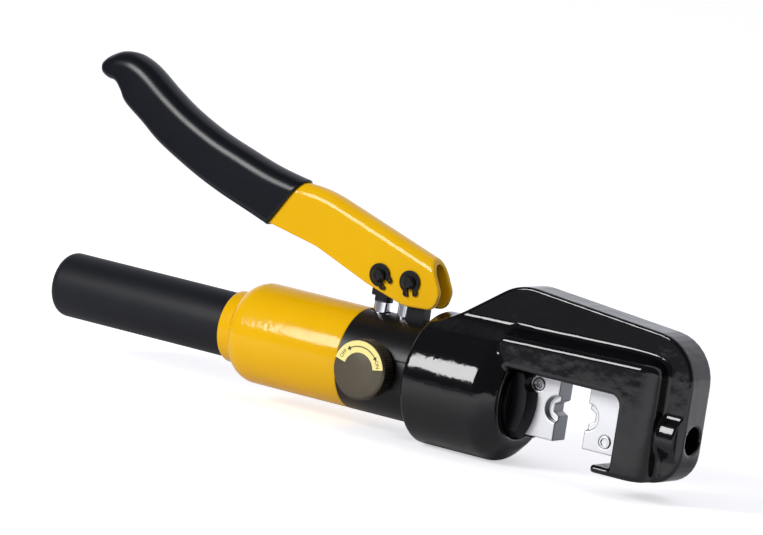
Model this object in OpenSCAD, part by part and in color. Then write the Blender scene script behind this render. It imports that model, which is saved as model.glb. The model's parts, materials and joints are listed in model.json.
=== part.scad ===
// Hydraulic crimping tool: a hand pump with an oil reservoir in the fixed handle, a swing-up
// lever, and a C-shaped head in which a ram presses a moving die against a fixed one.
// X runs along the ram towards the head's end face, Z points to the lever side.
// The origin is the mouth of the bore in the head's end face.

/* [Lengths along the ram axis] */
// Head, from its end face to its rear edge
head_l = 128.5; // [124:0.5:140]
// Pump body that shows between head and reservoir
pump_l = 37.2; // [36:0.2:44]
// Reservoir housing with its neck ring
housing_l = 66.3; // [62:0.1:80]
// Lower grip
grip_l = 91; // [70:1:120]

/* [Crimping head] */
// Radius of the head's cylinder
barrel_r = 28.7; // [27.5:0.1:32]
// Length of the cylinder, rear edge to front face
barrel_l = 44.5; // [43:0.5:48]
// Rounding of the cylinder's rear edge
barrel_edge = 2; // [1:0.5:4]
// Length of the cone at the front of the cylinder
barrel_taper_l = 7; // [5:0.5:9]
// Radius lost over that cone
barrel_taper = 7; // [4:0.5:7.5]
// Thickness of the web plate
web_t = 16; // [14:0.5:20]
// Height at which the web's rear ramp leaves the cylinder
web_ramp_h = 24.4; // [20:0.2:26]
// Height of the web's highest corner, before rounding
web_h = 48.8; // [44:0.2:56]
// Height of the web's front corner, before rounding
web_front_h = 41; // [36:0.5:44]
// Depth of the web below the ram axis
web_drop = 20; // [19:0.5:24]
// Rounding of the web's highest corner
web_apex_r = 24; // [10:1:26]
// Rounding of the web's front corner
web_front_r = 20; // [10:1:22]
// Rounding of the web's lower front corner
web_toe_r = 14; // [6:1:15]
// Width of the flange round the throat
flange_w = 38; // [30:1:42]
// Height of the flange at the rear end of its rims
flange_rim_h = 26.8; // [24:0.2:28]
// Height at which the flange meets the web, above the rear end of its rims
flange_root_h = 30.6; // [29:0.2:33]
// Upward slope of the flange towards its front, in degrees
flange_pitch = 1.6; // [1:0.1:2.2]
// Rounding of the flange's upper front corner
flange_front_r = 12; // [8:0.5:14]
// Slope of the flange's front end, from its rims to the web
flange_slant = 3; // [1:0.5:5]
// Width of the shoulder that leads from the web down to the cylinder
shoulder_w = 33.4; // [26:0.2:36]
// Thickness of the arm that backs the fixed die
arm_t = 17; // [14:0.5:18]
// Length of the throat, cylinder face to arm
throat_l = 56.5; // [55:0.5:60]
// Height of the throat above the ram axis
throat_h = 14; // [14:0.1:16]
// Rounding of the throat's inner corner
throat_r = 4.5; // [2:0.5:8]
// Reach of the hook lip under the fixed die
lip_l = 9; // [6:0.5:10]
// Thickness of the hook lip
lip_t = 3.5; // [2.5:0.1:5]
// Radius of the bore in the end face
end_bore_r = 5.9; // [4:0.1:6.5]
// Depth of the bore in the end face
end_bore_l = 18; // [10:1:19]
// Radius of the boss round that bore
end_boss_r = 11.6; // [10:0.1:12]

/* [Ram and dies] */
// Radius of the ram
ram_r = 17; // [16:0.1:18]
// Width across the flats of the ram's nose
ram_flat_w = 23; // [20:0.5:26]
// Dome radius of the ram's nose
ram_dome_r = 29; // [24:1:40]
// Length of each die
die_l = 22; // [21:0.5:23]
// Height of each die
die_h = 27.4; // [24:0.2:27.4]
// Thickness of each die
die_t = 10.5; // [10.5:0.5:13]
// Gap between the dies with the ram drawn back
die_gap = 14.7; // [13:0.1:15.5]
// Depth of the slot that holds the moving die
slot_depth = 12.5; // [9:0.5:13.5]
// Corner radius of the hexagonal nest
nest_r = 3.3; // [2.5:0.1:4]
// Radius of the nest's round mouth
nest_mouth_r = 5.9; // [5.5:0.1:7]
// Radius of the mouth's floor
nest_floor_r = 5.2; // [4.5:0.1:5.4]
// Depth of the nest's round mouth
nest_mouth_l = 2.5; // [1:0.1:4]
// Radius of a die button
button_r = 2.8; // [2:0.1:3]
// Button centre behind the die's face
button_back = 10.6; // [9:0.2:12]
// Button centre above the die's middle
button_h = 8.6; // [7:0.2:9.5]

/* [Pump] */
// Radius of pump body and reservoir housing
body_r = 22; // [21:0.1:23]
// Distance from the head's rear edge back to the lever's fulcrum
fulcrum_setback = 16.3; // [16:0.1:18]
// Distance between the lever's two pins
pin_pitch = 15.4; // [14.5:0.1:16.5]
// Height of the pins above the pump body
pin_rise = 15.8; // [15:0.1:18]
// Radius of the lever's pins
pin_r = 3; // [2.5:0.1:3.2]
// Length of the lever's pins
pin_l = 18; // [17:0.5:20]
// Radius of the pump plunger
plunger_r = 4; // [3:0.1:4.2]
// Width of the plunger's flat head
plunger_head_w = 12.5; // [12:0.5:14]
// Thickness of the flat heads between the lever's cheeks
tongue_t = 6; // [4.5:0.1:6.2]
// Radius of the fulcrum's stem
stem_r = 3.2; // [2.5:0.1:3.2]
// Radius of the check valves' chambers
chamber_r = 3.2; // [3:0.1:3.6]
// Radius of the valve balls
ball_r = 2.4; // [2:0.1:2.6]
// Radius of the oil passages
oilway_r = 1.2; // [0.8:0.1:1.4]

/* [Release valve] */
// Radius of the release knob
knob_r = 13; // [10:0.5:13.5]
// Thickness of the release knob
knob_t = 8.5; // [6:0.5:10]
// How far the knob's face stands out from the pump body
knob_proud = 8; // [6:0.5:9]
// Distance from the head's rear edge back to the knob's axis
knob_setback = 20.5; // [19:0.5:22]
// Radius of the valve spindle
spindle_r = 4; // [3:0.1:4.2]
// Inner radius of the dial's arc
dial_in_r = 7.3; // [5:0.1:8]
// Outer radius of the dial's arc
dial_out_r = 12.4; // [9:0.1:12.5]

/* [Lever] */
// Reach of the lever from fulcrum to tip
lever_reach = 177.2; // [160:1:200]
// Rise of the lever from fulcrum to its highest point
lever_rise = 68.3; // [66:0.5:76]
// Outer width of the lever's channel
channel_w = 12; // [11.5:0.1:13]
// Sheet thickness of the channel
channel_t = 2.4; // [2:0.1:2.4]
// Outer width of the lever's grip
lever_grip_w = 15; // [14:0.5:20]
// Cover of the grip over the channel
lever_grip_t = 1; // [0.6:0.1:2]

/* [Handle and reservoir] */
// Radius of the lower grip
grip_r = 14.1; // [13.5:0.1:16]
// Rounding of the lower grip's end
grip_edge = 4.5; // [1:0.5:5]
// Radius of the neck ring
neck_r = 15.7; // [15:0.1:18]
// Rounding of the reservoir's shoulder
reservoir_round = 11; // [9:0.5:20]
// Radius of the handle tube
tube_r = 11; // [9:0.5:11.5]
// Wall of the handle tube
tube_t = 2.5; // [1.5:0.1:4]
// Wall of the reservoir housing
housing_t = 3; // [2.5:0.1:3.2]
// Wall of the oil bladder
bladder_t = 1.2; // [0.8:0.1:1.4]

/* [Fits] */
// Radial clearance of shafts, balls and sliding pieces
running = 0.05; // [0.03:0.01:0.08]
// Radial clearance of pieces that are screwed or pushed in
snug = 0.03; // [0.02:0.01:0.05]
// Room between moving faces that aren't a fit
clear = 0.4; // [0.3:0.05:0.6]

/* [Hidden] */
$fn = 64;
// How far a cut runs past the faces that it opens
over = 1;
// Ends along the ram axis
x_head_rear = -head_l;
x_barrel_front = x_head_rear + barrel_l;
x_taper = x_barrel_front - barrel_taper_l;
x_arm = x_barrel_front + throat_l;
x_flange_front = x_arm + arm_t;
x_pump_rear = x_head_rear - pump_l;
x_neck_rear = x_pump_rear - housing_l;
x_grip_end = x_neck_rear - grip_l;
// Front spigot of the pump body, screwed into the head, and its end, the floor of the ram's bore
spigot_l = 10;
x_floor = x_head_rear + spigot_l;
// Dies and ram with the ram drawn back
x_fixed_face = x_arm - die_l;
x_moving_face = x_fixed_face - die_gap;
x_slot_floor = x_moving_face - die_l;
x_nose = x_slot_floor + slot_depth;
ram_lift = 0.5;
x_ram_rear = x_floor + ram_lift;
stroke = die_gap - clear;
slot_floor_t = 3.3;
x_hollow = x_slot_floor - slot_floor_t;
hollow_r = 10;
flat_step = 1.5;
// Head casting: inset of the web's ramp, its highest corner along the cylinder, lip rounding
ramp_inset = 3.1;
apex_share = 0.863;
rim_inset = 1.7;
lip_edge = 1.2;
boss_inset = 3;
// Spring bolt, retainer and return spring
bolt_r = 3;
bolt_head_r = 7.5;
bolt_head_t = 3.5;
x_bolt_front = x_hollow - ram_lift * 2;
x_bolt_rear = x_bolt_front - bolt_head_t;
bolt_thread_l = 8;
retainer_t = 4;
x_retainer = x_ram_rear + retainer_t;
return_wire_r = 0.5;
return_coil_r = 6;
return_turns = 4;
// Seals of rectangular section: width along the axis and radial height
seal_w = 4;
seal_h = 3;
reservoir_seal_w = 3;
ram_seal_back = 6;
wiper_back = 4;
head_seal_r = 20;
head_seal_t = 1.2;
// Head lock screw
lock_screw_r = 2.5;
lock_screw_back = 5;
lock_screw_bite = 2;
socket_share = 0.55;
socket_l_share = 0.4;
// Lever pins, plunger and fulcrum
x_fulcrum = x_head_rear - fulcrum_setback;
x_plunger = x_fulcrum - pin_pitch;
z_pin = body_r + pin_rise;
head_round = 6.5;
lug_front = 7.1;
lug_rear = 1.5;
stem_back = 4.2;
stem_l = 13;
lug_key = 2;
plunger_below = 4;
plunger_show = 4;
plunger_top = body_r + plunger_show;
plunger_head_drop = 9.6;
plunger_head_back = 5;
plunger_bore_below = 12;
pin_slot_l = 2.2;
oilway_below = 10.2;
// Plunger gland and its seal
plunger_gland_r = 5;
gland_l = 7;
gland_drop = 0.6;
// Release valve along Y
x_knob = x_head_rear - knob_setback;
y_knob_face = -body_r - knob_proud;
y_knob_back = y_knob_face + knob_t;
y_spot = y_knob_back + clear;
valve_gland_r = 6.5;
valve_gland_l = 6;
y_valve_seal = y_spot + valve_gland_l;
valve_seal_l = 2;
y_valve_seat = -4;
spindle_tip_l = 2.6;
spindle_in_knob = 6;
knob_edge = 0.8;
knob_screw_r = 1.5;
knob_screw_l = 6;
dial_t = 0.25;
dial_from = 10;
dial_to = 165;
// Side passages: oil returns on the knob's side, pressure reaches valve and relief opposite
y_return = -9;
y_pressure = 9;
cross_share = 0.85;
relief_back = 9.5;
y_relief_seat = 11;
relief_screw_l = 3.4;
relief_drop = 0.4;
// Check valves
rear_spigot_l = 11.3;
x_spigot_rear = x_pump_rear - rear_spigot_l;
ball_lift = 0.8;
suction_plug_l = 5;
delivery_chamber_l = 14.5;
delivery_plug_l = 4;
ball_seat = sqrt(ball_r * ball_r - oilway_r * oilway_r) + running;
suction_chamber_l = suction_plug_l + ball_seat + ball_r + ball_lift + clear;
valve_wire_r = 0.3;
valve_coil_r = 1.7;
valve_turns = 3;
// Reservoir: rear spigot, collar that the bladder grips, and cavity
spigot_r = body_r - housing_t;
cavity_step = 1.5;
cavity_r = spigot_r - cavity_step;
collar_step = 2.5;
collar_r = cavity_r - collar_step;
collar_l = 7;
collar_t = 1.2;
x_collar = x_spigot_rear - collar_l;
bladder_r = collar_r + bladder_t;
bladder_gap = 1;
plug_room = 4.5;
clip_band_inset = 1;
clip_band_l = 4;
clip_band_t = 0.8;
plug_r = 3;
plug_head_r = 5;
plug_head_t = 2.5;
neck_l = 6.1;
neck_step = body_r - neck_r;
x_shoulder = x_neck_rear + neck_l + sqrt(2 * reservoir_round * neck_step - neck_step * neck_step);
cavity_end = 18;
x_cavity_rear = x_neck_rear + cavity_end;
x_bladder_rear = x_cavity_rear + plug_room + plug_head_t;
bladder_l = x_spigot_rear - bladder_gap - x_bladder_rear;
tube_in = 1;
grip_end_t = 4;
// Circlips
clip_t = 1;
clip_r = 5;
clip_gap = 2.6;
ear_r = 1.6;
ear_reach = 5;
ear_angle = 24;
ear_hole_r = 0.6;
groove_depth = 0.3;
clip_turns = [-40, -77];
// Die details
die_edge = 1.2;
stub_r = 5;
stub_l = 5;
button_l = 4.6;
button_proud = 0.4;
button_bore_l = 6.6;
button_wire_r = 0.25;
button_coil_r = 1.6;
button_turns = 2;
scallop = 0.7;

// Lever corners as shares of reach and rise from the fulcrum, with the corner's rounding as a
// share of the rise: front below, front, front above, bend, grip line above and below, belly
channel_shares = [
    [0.0745, -0.1435, 0.073], [0.0847, -0.0293, 0.088], [0.0451, 0.1742, 0],
    [-0.2935, 0.4495, 0], [-0.350, 0.448, 0], [-0.426, 0.145, 0], [-0.282, 0.0761, 0.44],
    [-0.124, -0.0761, 0.37], [-0.0113, -0.158, 0.205]];
// Grip stations behind the grip line: lower edge and upper edge as shares of reach and rise,
// and the width as a share of the grip's width
grip_shares = [
    [-0.491, 0.186, -0.438, 0.503, 1], [-0.583, 0.262, -0.526, 0.568, 1],
    [-0.670, 0.350, -0.611, 0.638, 1], [-0.773, 0.479, -0.695, 0.731, 1],
    [-0.835, 0.586, -0.762, 0.829, 1], [-0.891, 0.679, -0.828, 0.940, 1],
    [-0.912, 0.748, -0.870, 0.988, 0.98], [-0.932, 0.800, -0.903, 1.001, 0.96],
    [-0.957, 0.813, -0.936, 0.992, 0.92], [-0.977, 0.835, -0.964, 0.956, 0.8],
    [-0.984, 0.864, -0.980, 0.920, 0.55]];
// Tail of the channel inside the grip: its share of the grip's height, the slot's height over the
// tail's, the tail's stations, and where it starts inside the channel
tail_share = 0.26;
tail_room_share = 1.03;
tail_stations = 6;
tail_start_shares = [[-0.30, 0.16], [-0.27, 0.36]];
// Section of the lever's grip: the most of its height that the round top takes, and the rounding
// of its lower edges
grip_top_share = 0.6;
grip_low_edge = 3;
grip_steps = 3;

// Outlines: a list of corners [x, y, radius], each turned into an arc that touches both sides
function unit(v) = v / norm(v);
function corner_arc(a, b, c, r) =
    let (u = unit(a - b), v = unit(c - b),
         half = acos(u * v) / 2,
         mid = b + unit(u + v) * r / sin(half),
         p = b + u * r / tan(half) - mid,
         side = sign(p[1] * u[0] - p[0] * u[1]),
         steps = ceil((180 - 2 * half) / 6))
    [for (k = [0:steps]) let (t = side * (180 - 2 * half) * k / steps)
        mid + [p[0] * cos(t) - p[1] * sin(t), p[0] * sin(t) + p[1] * cos(t)]];
function flat(p) = [p[0], p[1]];
function rounded_outline(corners) =
    let (n = len(corners))
    [for (i = [0:n - 1])
        let (a = flat(corners[(i + n - 1) % n]), b = flat(corners[i]), c = flat(corners[(i + 1) % n]))
        each (corners[i][2] > 0 ? corner_arc(a, b, c, corners[i][2]) : [b])];

// A coil of round wire along Z, from points worked out turn by turn
function coil_rings(r, wire, pitch, turns, rings, sides) =
    [for (i = [0:rings * turns]) let (a = 360 * i / rings, z = pitch * i / rings)
        [for (j = [0:sides - 1]) let (b = 360 * j / sides, q = r + wire * cos(b))
            [q * cos(a), q * sin(a), z + wire * sin(b)]]];
function tube_faces(rings, sides) =
    [[for (j = [0:sides - 1]) j],
     [for (j = [sides - 1:-1:0]) (rings - 1) * sides + j],
     for (i = [0:rings - 2], j = [0:sides - 1])
        let (a = i * sides + j, b = i * sides + (j + 1) % sides)
        each [[a, a + sides, b], [b, a + sides, b + sides]]];
module swept(sections) {
    polyhedron([for (ring = sections) each ring], tube_faces(len(sections), len(sections[0])));
}
module coil(r, wire, l, turns) {
    translate([0, 0, wire]) swept(coil_rings(r, wire, (l - 2 * wire) / turns, turns, 12, 6));
}

// Ways to lay a shape along an axis of the tool
module along_x(x0) { translate([x0, 0, 0]) rotate([0, 90, 0]) children(); }
module along_y(x, y0, z) { translate([x, y0, z]) rotate([-90, 0, 0]) children(); }
module rod_x(r, x0, x1) { along_x(x0) cylinder(r = r, h = x1 - x0); }
module rod_y(r, x, y0, y1, z) { along_y(x, y0, z) cylinder(r = r, h = y1 - y0); }
module rod_z(r, x, z0, z1) { translate([x, 0, z0]) cylinder(r = r, h = z1 - z0); }
module ring_x(r_in, r_out, x0, x1) {
    difference() {
        rod_x(r_out, x0, x1);
        rod_x(r_in, x0 - over, x1 + over);
    }
}
module side_plate(t) { rotate([90, 0, 0]) linear_extrude(height = t, center = true) children(); }
module section_prism(l) { rotate([90, 0, 90]) linear_extrude(height = l) children(); }
module block(x0, x1, w, z0, z1) { translate([x0, -w / 2, z0]) cube([x1 - x0, w, z1 - z0]); }
// Grub screw along Z with a hexagon socket in its lower end
module grub_screw(r, l) {
    difference() {
        cylinder(r = r, h = l);
        translate([0, 0, -over]) cylinder(r = r * socket_share, h = l * socket_l_share + over, $fn = 6);
    }
}

// Head casting
x_ramp = x_head_rear + ramp_inset;
x_apex = x_head_rear + barrel_l * apex_share;
web_corners = [
    [x_ramp, 0, 0], [x_ramp, web_ramp_h, 0], [x_apex, web_h, web_apex_r],
    [0, web_front_h, web_front_r], [0, -web_drop, web_toe_r],
    [x_arm - lip_l, -web_drop, lip_edge], [x_arm - lip_l, lip_t - web_drop, lip_edge],
    [x_arm, lip_t - web_drop, lip_edge], [x_arm, throat_h, throat_r],
    [x_taper, throat_h, 0], [x_taper, 0, 0]];
x_rim = x_taper + rim_inset;
flange_top_h = flange_root_h + (x_flange_front - x_rim) * tan(flange_pitch);
// The roof cuts this outline off below its top
flange_corners = [
    [x_ramp, 0, 0], [x_ramp, web_ramp_h, 0], [x_apex, web_h, 0],
    [x_flange_front, flange_top_h, flange_front_r], [x_flange_front, -web_drop, lip_t],
    [x_arm - lip_l, -web_drop, lip_edge], [x_arm - lip_l, lip_t - web_drop, lip_edge],
    [x_arm, lip_t - web_drop, lip_edge], [x_arm, throat_h, throat_r], [x_taper, throat_h, 0],
    [x_taper, 0, 0]];
shoulder_h = sqrt(barrel_r * barrel_r - shoulder_w * shoulder_w / 4);

module barrel() {
    along_x(0) rotate_extrude() {
        translate([0, x_head_rear]) square([barrel_r - barrel_edge, x_taper - x_head_rear]);
        translate([0, x_head_rear + barrel_edge]) square([barrel_r, x_taper - x_head_rear - barrel_edge]);
        translate([barrel_r - barrel_edge, x_head_rear + barrel_edge]) circle(barrel_edge);
        polygon([[0, x_taper], [barrel_r, x_taper], [barrel_r - barrel_taper, x_barrel_front],
            [0, x_barrel_front]]);
    }
}
// Roof-shaped section of the casting, as wide as its rims and sloping up to the front, between two
// places along the tool
module roof_section(x0, x1, w, rim_h) {
    rim = w / 2;
    intersection() {
        side_plate(w) polygon(rounded_outline(flange_corners));
        translate([x_rim, 0, 0]) rotate([0, -flange_pitch, 0]) translate([x0 - x_rim, 0, 0]) section_prism(x1 - x0)
            polygon([[-rim, -web_drop - over], [-rim, rim_h], [-web_t / 2, flange_root_h],
                [web_t / 2, flange_root_h], [rim, rim_h], [rim, -web_drop - over]]);
    }
}
module throat_flange() {
    rim = flange_w / 2;
    x_slant = x_flange_front - flange_slant;
    intersection() {
        roof_section(x_rim - over, x_flange_front + 2 * over, flange_w, flange_rim_h);
        translate([0, 0, -barrel_r]) linear_extrude(height = barrel_r + web_h)
            polygon([[x_rim, -rim], [x_slant, -rim], [x_flange_front, -web_t / 2],
                [x_flange_front, web_t / 2], [x_slant, rim], [x_rim, rim]]);
    }
}
module crimp_head() {
    color("#17181b") difference() {
        union() {
            barrel();
            side_plate(web_t) polygon(rounded_outline(web_corners));
            throat_flange();
            roof_section(x_ramp - over, x_rim + 2 * over, shoulder_w, shoulder_h);
            rod_x(end_boss_r, x_flange_front - flange_slant - over, -boss_inset);
        }
        rod_x(body_r + snug, x_head_rear - over, x_floor);
        rod_x(ram_r + running, x_floor - over, x_nose + stroke + over);
        ring_x(ram_r - over, ram_r + seal_h + snug, x_barrel_front - wiper_back - seal_w,
            x_barrel_front - wiper_back);
        rod_x(end_bore_r, -end_bore_l, over);
        rod_x(stub_r + snug, x_arm - over, x_arm + stub_l + clear);
        rod_z(lock_screw_r + snug, x_head_rear + lock_screw_back, -barrel_r - over, -body_r + over);
    }
}
module head_seal() {
    color("#222222") ring_x(head_seal_r - head_seal_t, head_seal_r, x_floor - head_seal_t, x_floor);
}
module ram_wiper() {
    x0 = x_barrel_front - wiper_back - seal_w;
    color("#222222") ring_x(ram_r + running, ram_r + seal_h, x0 + snug, x0 + seal_w - snug);
}
module head_lock_screw() {
    z0 = -barrel_r + lock_screw_r;
    color("#2c2c2e") translate([x_head_rear + lock_screw_back, 0, z0])
        grub_screw(lock_screw_r, -body_r + lock_screw_bite - z0);
}

// Pump body with its bores
module pump_body() {
    plunger_seat = body_r - gland_drop - gland_l - seal_w;
    color("#1d1d1f") difference() {
        along_x(0) rotate_extrude() {
            translate([0, x_pump_rear]) square([body_r, x_floor - x_pump_rear]);
            translate([0, x_spigot_rear]) square([spigot_r - snug, rear_spigot_l]);
            translate([collar_r - collar_t, x_collar]) square([collar_t, collar_l]);
        }
        ring_x(head_seal_r - head_seal_t - snug, head_seal_r + snug, x_floor - head_seal_t, x_floor + over);
        ring_x(spigot_r - seal_h - snug, spigot_r + over, x_spigot_rear + seal_w - snug,
            x_spigot_rear + seal_w + reservoir_seal_w + snug);
        rod_x(bolt_r + snug, x_floor - bolt_thread_l - clear, x_floor + over);
        rod_z(lock_screw_r + snug, x_head_rear + lock_screw_back, -body_r - over, -body_r + lock_screw_bite);
        // Plunger, its gland and the fulcrum
        rod_z(plunger_r + running, x_plunger, -plunger_bore_below, body_r + over);
        rod_z(plunger_gland_r + snug, x_plunger, plunger_seat, body_r + over);
        rod_z(stem_r + snug, x_fulcrum - stem_back, body_r - stem_l, body_r + over);
        block(x_fulcrum - lug_rear - snug, x_fulcrum + lug_front + snug, tongue_t + 2 * snug,
            body_r - lug_key, body_r + over);
        // Release valve
        rod_y(knob_r + over, x_knob, -body_r - over, y_spot, 0);
        rod_y(valve_gland_r + snug, x_knob, y_spot - over, y_valve_seal + valve_seal_l, 0);
        rod_y(spindle_r + running, x_knob, y_spot, y_valve_seat, 0);
        rod_y(oilway_r, x_knob, y_valve_seat - over, y_pressure + 2 * oilway_r, 0);
        // Oil passages and valve chambers
        translate([0, y_return, 0]) rod_x(oilway_r, x_spigot_rear - over, x_knob);
        translate([0, y_pressure, 0]) rod_x(oilway_r * cross_share, x_knob, x_floor + over);
        translate([0, 0, -oilway_below]) {
            rod_x(oilway_r, x_spigot_rear - over, x_floor + over);
            rod_x(chamber_r + snug, x_spigot_rear - over, x_spigot_rear + suction_chamber_l);
            rod_x(chamber_r + snug, x_floor - delivery_chamber_l, x_floor + over);
        }
        rod_y(oilway_r, x_head_rear - relief_back, y_pressure - 2 * oilway_r, y_relief_seat + over, 0);
        rod_y(chamber_r + snug, x_head_rear - relief_back, y_relief_seat, body_r + over, 0);
    }
}
module plunger_gland() {
    z1 = body_r - gland_drop;
    color("#8d8f92") difference() {
        rod_z(plunger_gland_r, x_plunger, z1 - gland_l, z1);
        rod_z(plunger_r + running, x_plunger, z1 - gland_l - over, z1 + over);
    }
}
module plunger_seal() {
    z0 = body_r - gland_drop - gland_l - seal_w;
    color("#222222") difference() {
        rod_z(plunger_gland_r, x_plunger, z0, z0 + seal_w);
        rod_z(plunger_r + running, x_plunger, z0 - over, z0 + seal_w + over);
    }
}
module fulcrum_lug() {
    x0 = x_fulcrum - stem_back - stem_r;
    x1 = x_fulcrum + lug_front;
    color("#5b5c60") difference() {
        union() {
            rod_z(stem_r, x_fulcrum - stem_back, body_r - stem_l, z_pin);
            block(x_fulcrum - lug_rear, x1, tongue_t - clear, body_r - lug_key, z_pin);
            block(x0, x1, tongue_t - clear, z_pin - head_round, z_pin);
            rod_y(head_round, x_fulcrum, clear / 2 - tongue_t / 2, tongue_t / 2 - clear / 2, z_pin);
        }
        rod_y(pin_r + running, x_fulcrum, -tongue_t, tongue_t, z_pin);
    }
}

// Ram return: bolt fixed in the pump body, spring between its head and the ram's retainer
module spring_bolt() {
    color("#9a9a9d") {
        rod_x(bolt_r, x_floor - bolt_thread_l, x_bolt_rear + over);
        rod_x(bolt_head_r, x_bolt_rear, x_bolt_front);
    }
}
module return_spring() {
    color("#6f7074") along_x(x_retainer) coil(return_coil_r, return_wire_r, x_bolt_rear - x_retainer, return_turns);
}
module spring_retainer() {
    color("#8d8f92") ring_x(bolt_r + clear, hollow_r - snug, x_ram_rear, x_retainer);
}

// Check valves and overload valve
module suction_plug() {
    color("#b08d3c") translate([0, 0, -oilway_below])
        ring_x(oilway_r, chamber_r, x_spigot_rear, x_spigot_rear + suction_plug_l);
}
module suction_ball() {
    color("#c8c9cc") translate([x_spigot_rear + suction_plug_l + ball_seat, 0, -oilway_below]) sphere(ball_r);
}
module delivery_plug() {
    color("#b08d3c") translate([0, 0, -oilway_below])
        ring_x(oilway_r, chamber_r, x_floor - delivery_plug_l, x_floor);
}
x_delivery_ball = x_floor - delivery_chamber_l + ball_seat;
module delivery_ball() {
    color("#c8c9cc") translate([x_delivery_ball, 0, -oilway_below]) sphere(ball_r);
}
module delivery_spring() {
    l = x_floor - delivery_plug_l - x_delivery_ball - ball_r;
    color("#6f7074") translate([0, 0, -oilway_below]) along_x(x_delivery_ball + ball_r)
        coil(valve_coil_r, valve_wire_r, l, valve_turns);
}
y_relief_ball = y_relief_seat + ball_seat;
y_relief_screw = body_r - relief_drop - relief_screw_l;
module relief_screw() {
    color("#2c2c2e") translate([x_head_rear - relief_back, body_r - relief_drop, 0]) rotate([90, 0, 0])
        grub_screw(chamber_r, relief_screw_l);
}
module relief_spring() {
    color("#6f7074") along_y(x_head_rear - relief_back, y_relief_ball + ball_r, 0)
        coil(valve_coil_r, valve_wire_r, y_relief_screw - y_relief_ball - ball_r, valve_turns);
}
module relief_ball() {
    color("#c8c9cc") translate([x_head_rear - relief_back, y_relief_ball, 0]) sphere(ball_r);
}

// Release valve
module valve_gland() {
    color("#8d8f92") difference() {
        rod_y(valve_gland_r, x_knob, y_spot, y_valve_seal, 0);
        rod_y(spindle_r + running, x_knob, y_spot - over, y_valve_seal + over, 0);
    }
}
module valve_seal() {
    color("#222222") difference() {
        rod_y(valve_gland_r, x_knob, y_valve_seal, y_valve_seal + valve_seal_l, 0);
        rod_y(spindle_r + running, x_knob, y_valve_seal - over, y_valve_seal + valve_seal_l + over, 0);
    }
}
module valve_spindle() {
    y_tip = y_valve_seat - running * 2;
    color("#9a9a9d") {
        rod_y(spindle_r, x_knob, y_knob_back - spindle_in_knob, y_tip - spindle_tip_l, 0);
        along_y(x_knob, y_tip - spindle_tip_l, 0) cylinder(r1 = spindle_r, r2 = oilway_r, h = spindle_tip_l);
    }
}
module release_knob() {
    color("#4c4840") difference() {
        union() {
            along_y(x_knob, y_knob_face, 0) cylinder(r1 = knob_r - knob_edge, r2 = knob_r, h = knob_edge);
            rod_y(knob_r, x_knob, y_knob_face + knob_edge, y_knob_back - knob_edge, 0);
            along_y(x_knob, y_knob_back - knob_edge, 0)
                cylinder(r1 = knob_r, r2 = knob_r - knob_edge, h = knob_edge);
        }
        rod_y(spindle_r + snug, x_knob, y_knob_back - spindle_in_knob, y_knob_back + over, 0);
        translate([x_knob, (y_knob_face + y_knob_back) / 2, -knob_r - over])
            cylinder(r = knob_screw_r + snug, h = knob_r + over);
    }
}
module knob_screw() {
    z0 = -spindle_r - snug - knob_screw_l;
    color("#2c2c2e") translate([x_knob, (y_knob_face + y_knob_back) / 2, z0])
        grub_screw(knob_screw_r, knob_screw_l);
}
module release_dial() {
    reach = dial_out_r * 2;
    color("#ffef9c") translate([x_knob, y_knob_face, 0]) rotate([90, 0, 0]) linear_extrude(height = dial_t)
        intersection() {
            difference() {
                circle(dial_out_r);
                circle(dial_in_r);
            }
            polygon([[0, 0], for (a = [dial_from : (dial_to - dial_from) / 4 : dial_to])
                [reach * cos(a), reach * sin(a)]]);
        }
}

// Reservoir and fixed handle
module reservoir_seal() {
    color("#222222") ring_x(spigot_r - seal_h, spigot_r - snug, x_spigot_rear + seal_w,
        x_spigot_rear + seal_w + reservoir_seal_w);
}
module reservoir_housing() {
    color("#f0b400") along_x(0) rotate_extrude() difference() {
        union() {
            translate([0, x_shoulder]) square([body_r, x_pump_rear - x_shoulder]);
            intersection() {
                translate([body_r - reservoir_round, x_shoulder]) circle(reservoir_round);
                translate([0, x_neck_rear + neck_l]) square([body_r, x_shoulder - x_neck_rear]);
            }
            translate([0, x_neck_rear]) square([neck_r, x_shoulder - x_neck_rear]);
        }
        translate([0, x_spigot_rear]) square([spigot_r, rear_spigot_l + over]);
        translate([0, x_cavity_rear]) square([cavity_r, x_spigot_rear - x_cavity_rear + over]);
        translate([0, x_neck_rear - over]) square([tube_r + snug, cavity_end + 2 * over]);
    }
}
module oil_bladder() {
    color("#2a2a2c") difference() {
        rod_x(bladder_r, x_bladder_rear, x_bladder_rear + bladder_l);
        rod_x(collar_r + snug, x_bladder_rear + bladder_t, x_bladder_rear + bladder_l + over);
        rod_x(plug_r + snug, x_bladder_rear - over, x_bladder_rear + bladder_t + over);
    }
}
module bladder_clip() {
    x1 = x_bladder_rear + bladder_l - clip_band_inset;
    color("#b9babd") ring_x(bladder_r + snug, bladder_r + clip_band_t, x1 - clip_band_l, x1);
}
module filler_plug() {
    color("#b08d3c") {
        rod_x(plug_head_r, x_bladder_rear - plug_head_t, x_bladder_rear);
        rod_x(plug_r, x_bladder_rear - over, x_bladder_rear + bladder_t + over);
    }
}
module handle_tube() {
    color("#8d8f92") ring_x(tube_r - tube_t, tube_r, x_grip_end + grip_end_t, x_cavity_rear - tube_in);
}
module lower_grip() {
    color("#2b2b2f") difference() {
        along_x(0) rotate_extrude() {
            translate([0, x_grip_end]) square([grip_r - grip_edge, grip_l]);
            translate([0, x_grip_end + grip_edge]) square([grip_r, grip_l - grip_edge]);
            translate([grip_r - grip_edge, x_grip_end + grip_edge]) circle(grip_edge);
        }
        rod_x(tube_r + snug, x_grip_end + grip_end_t, x_neck_rear + over);
    }
}

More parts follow.
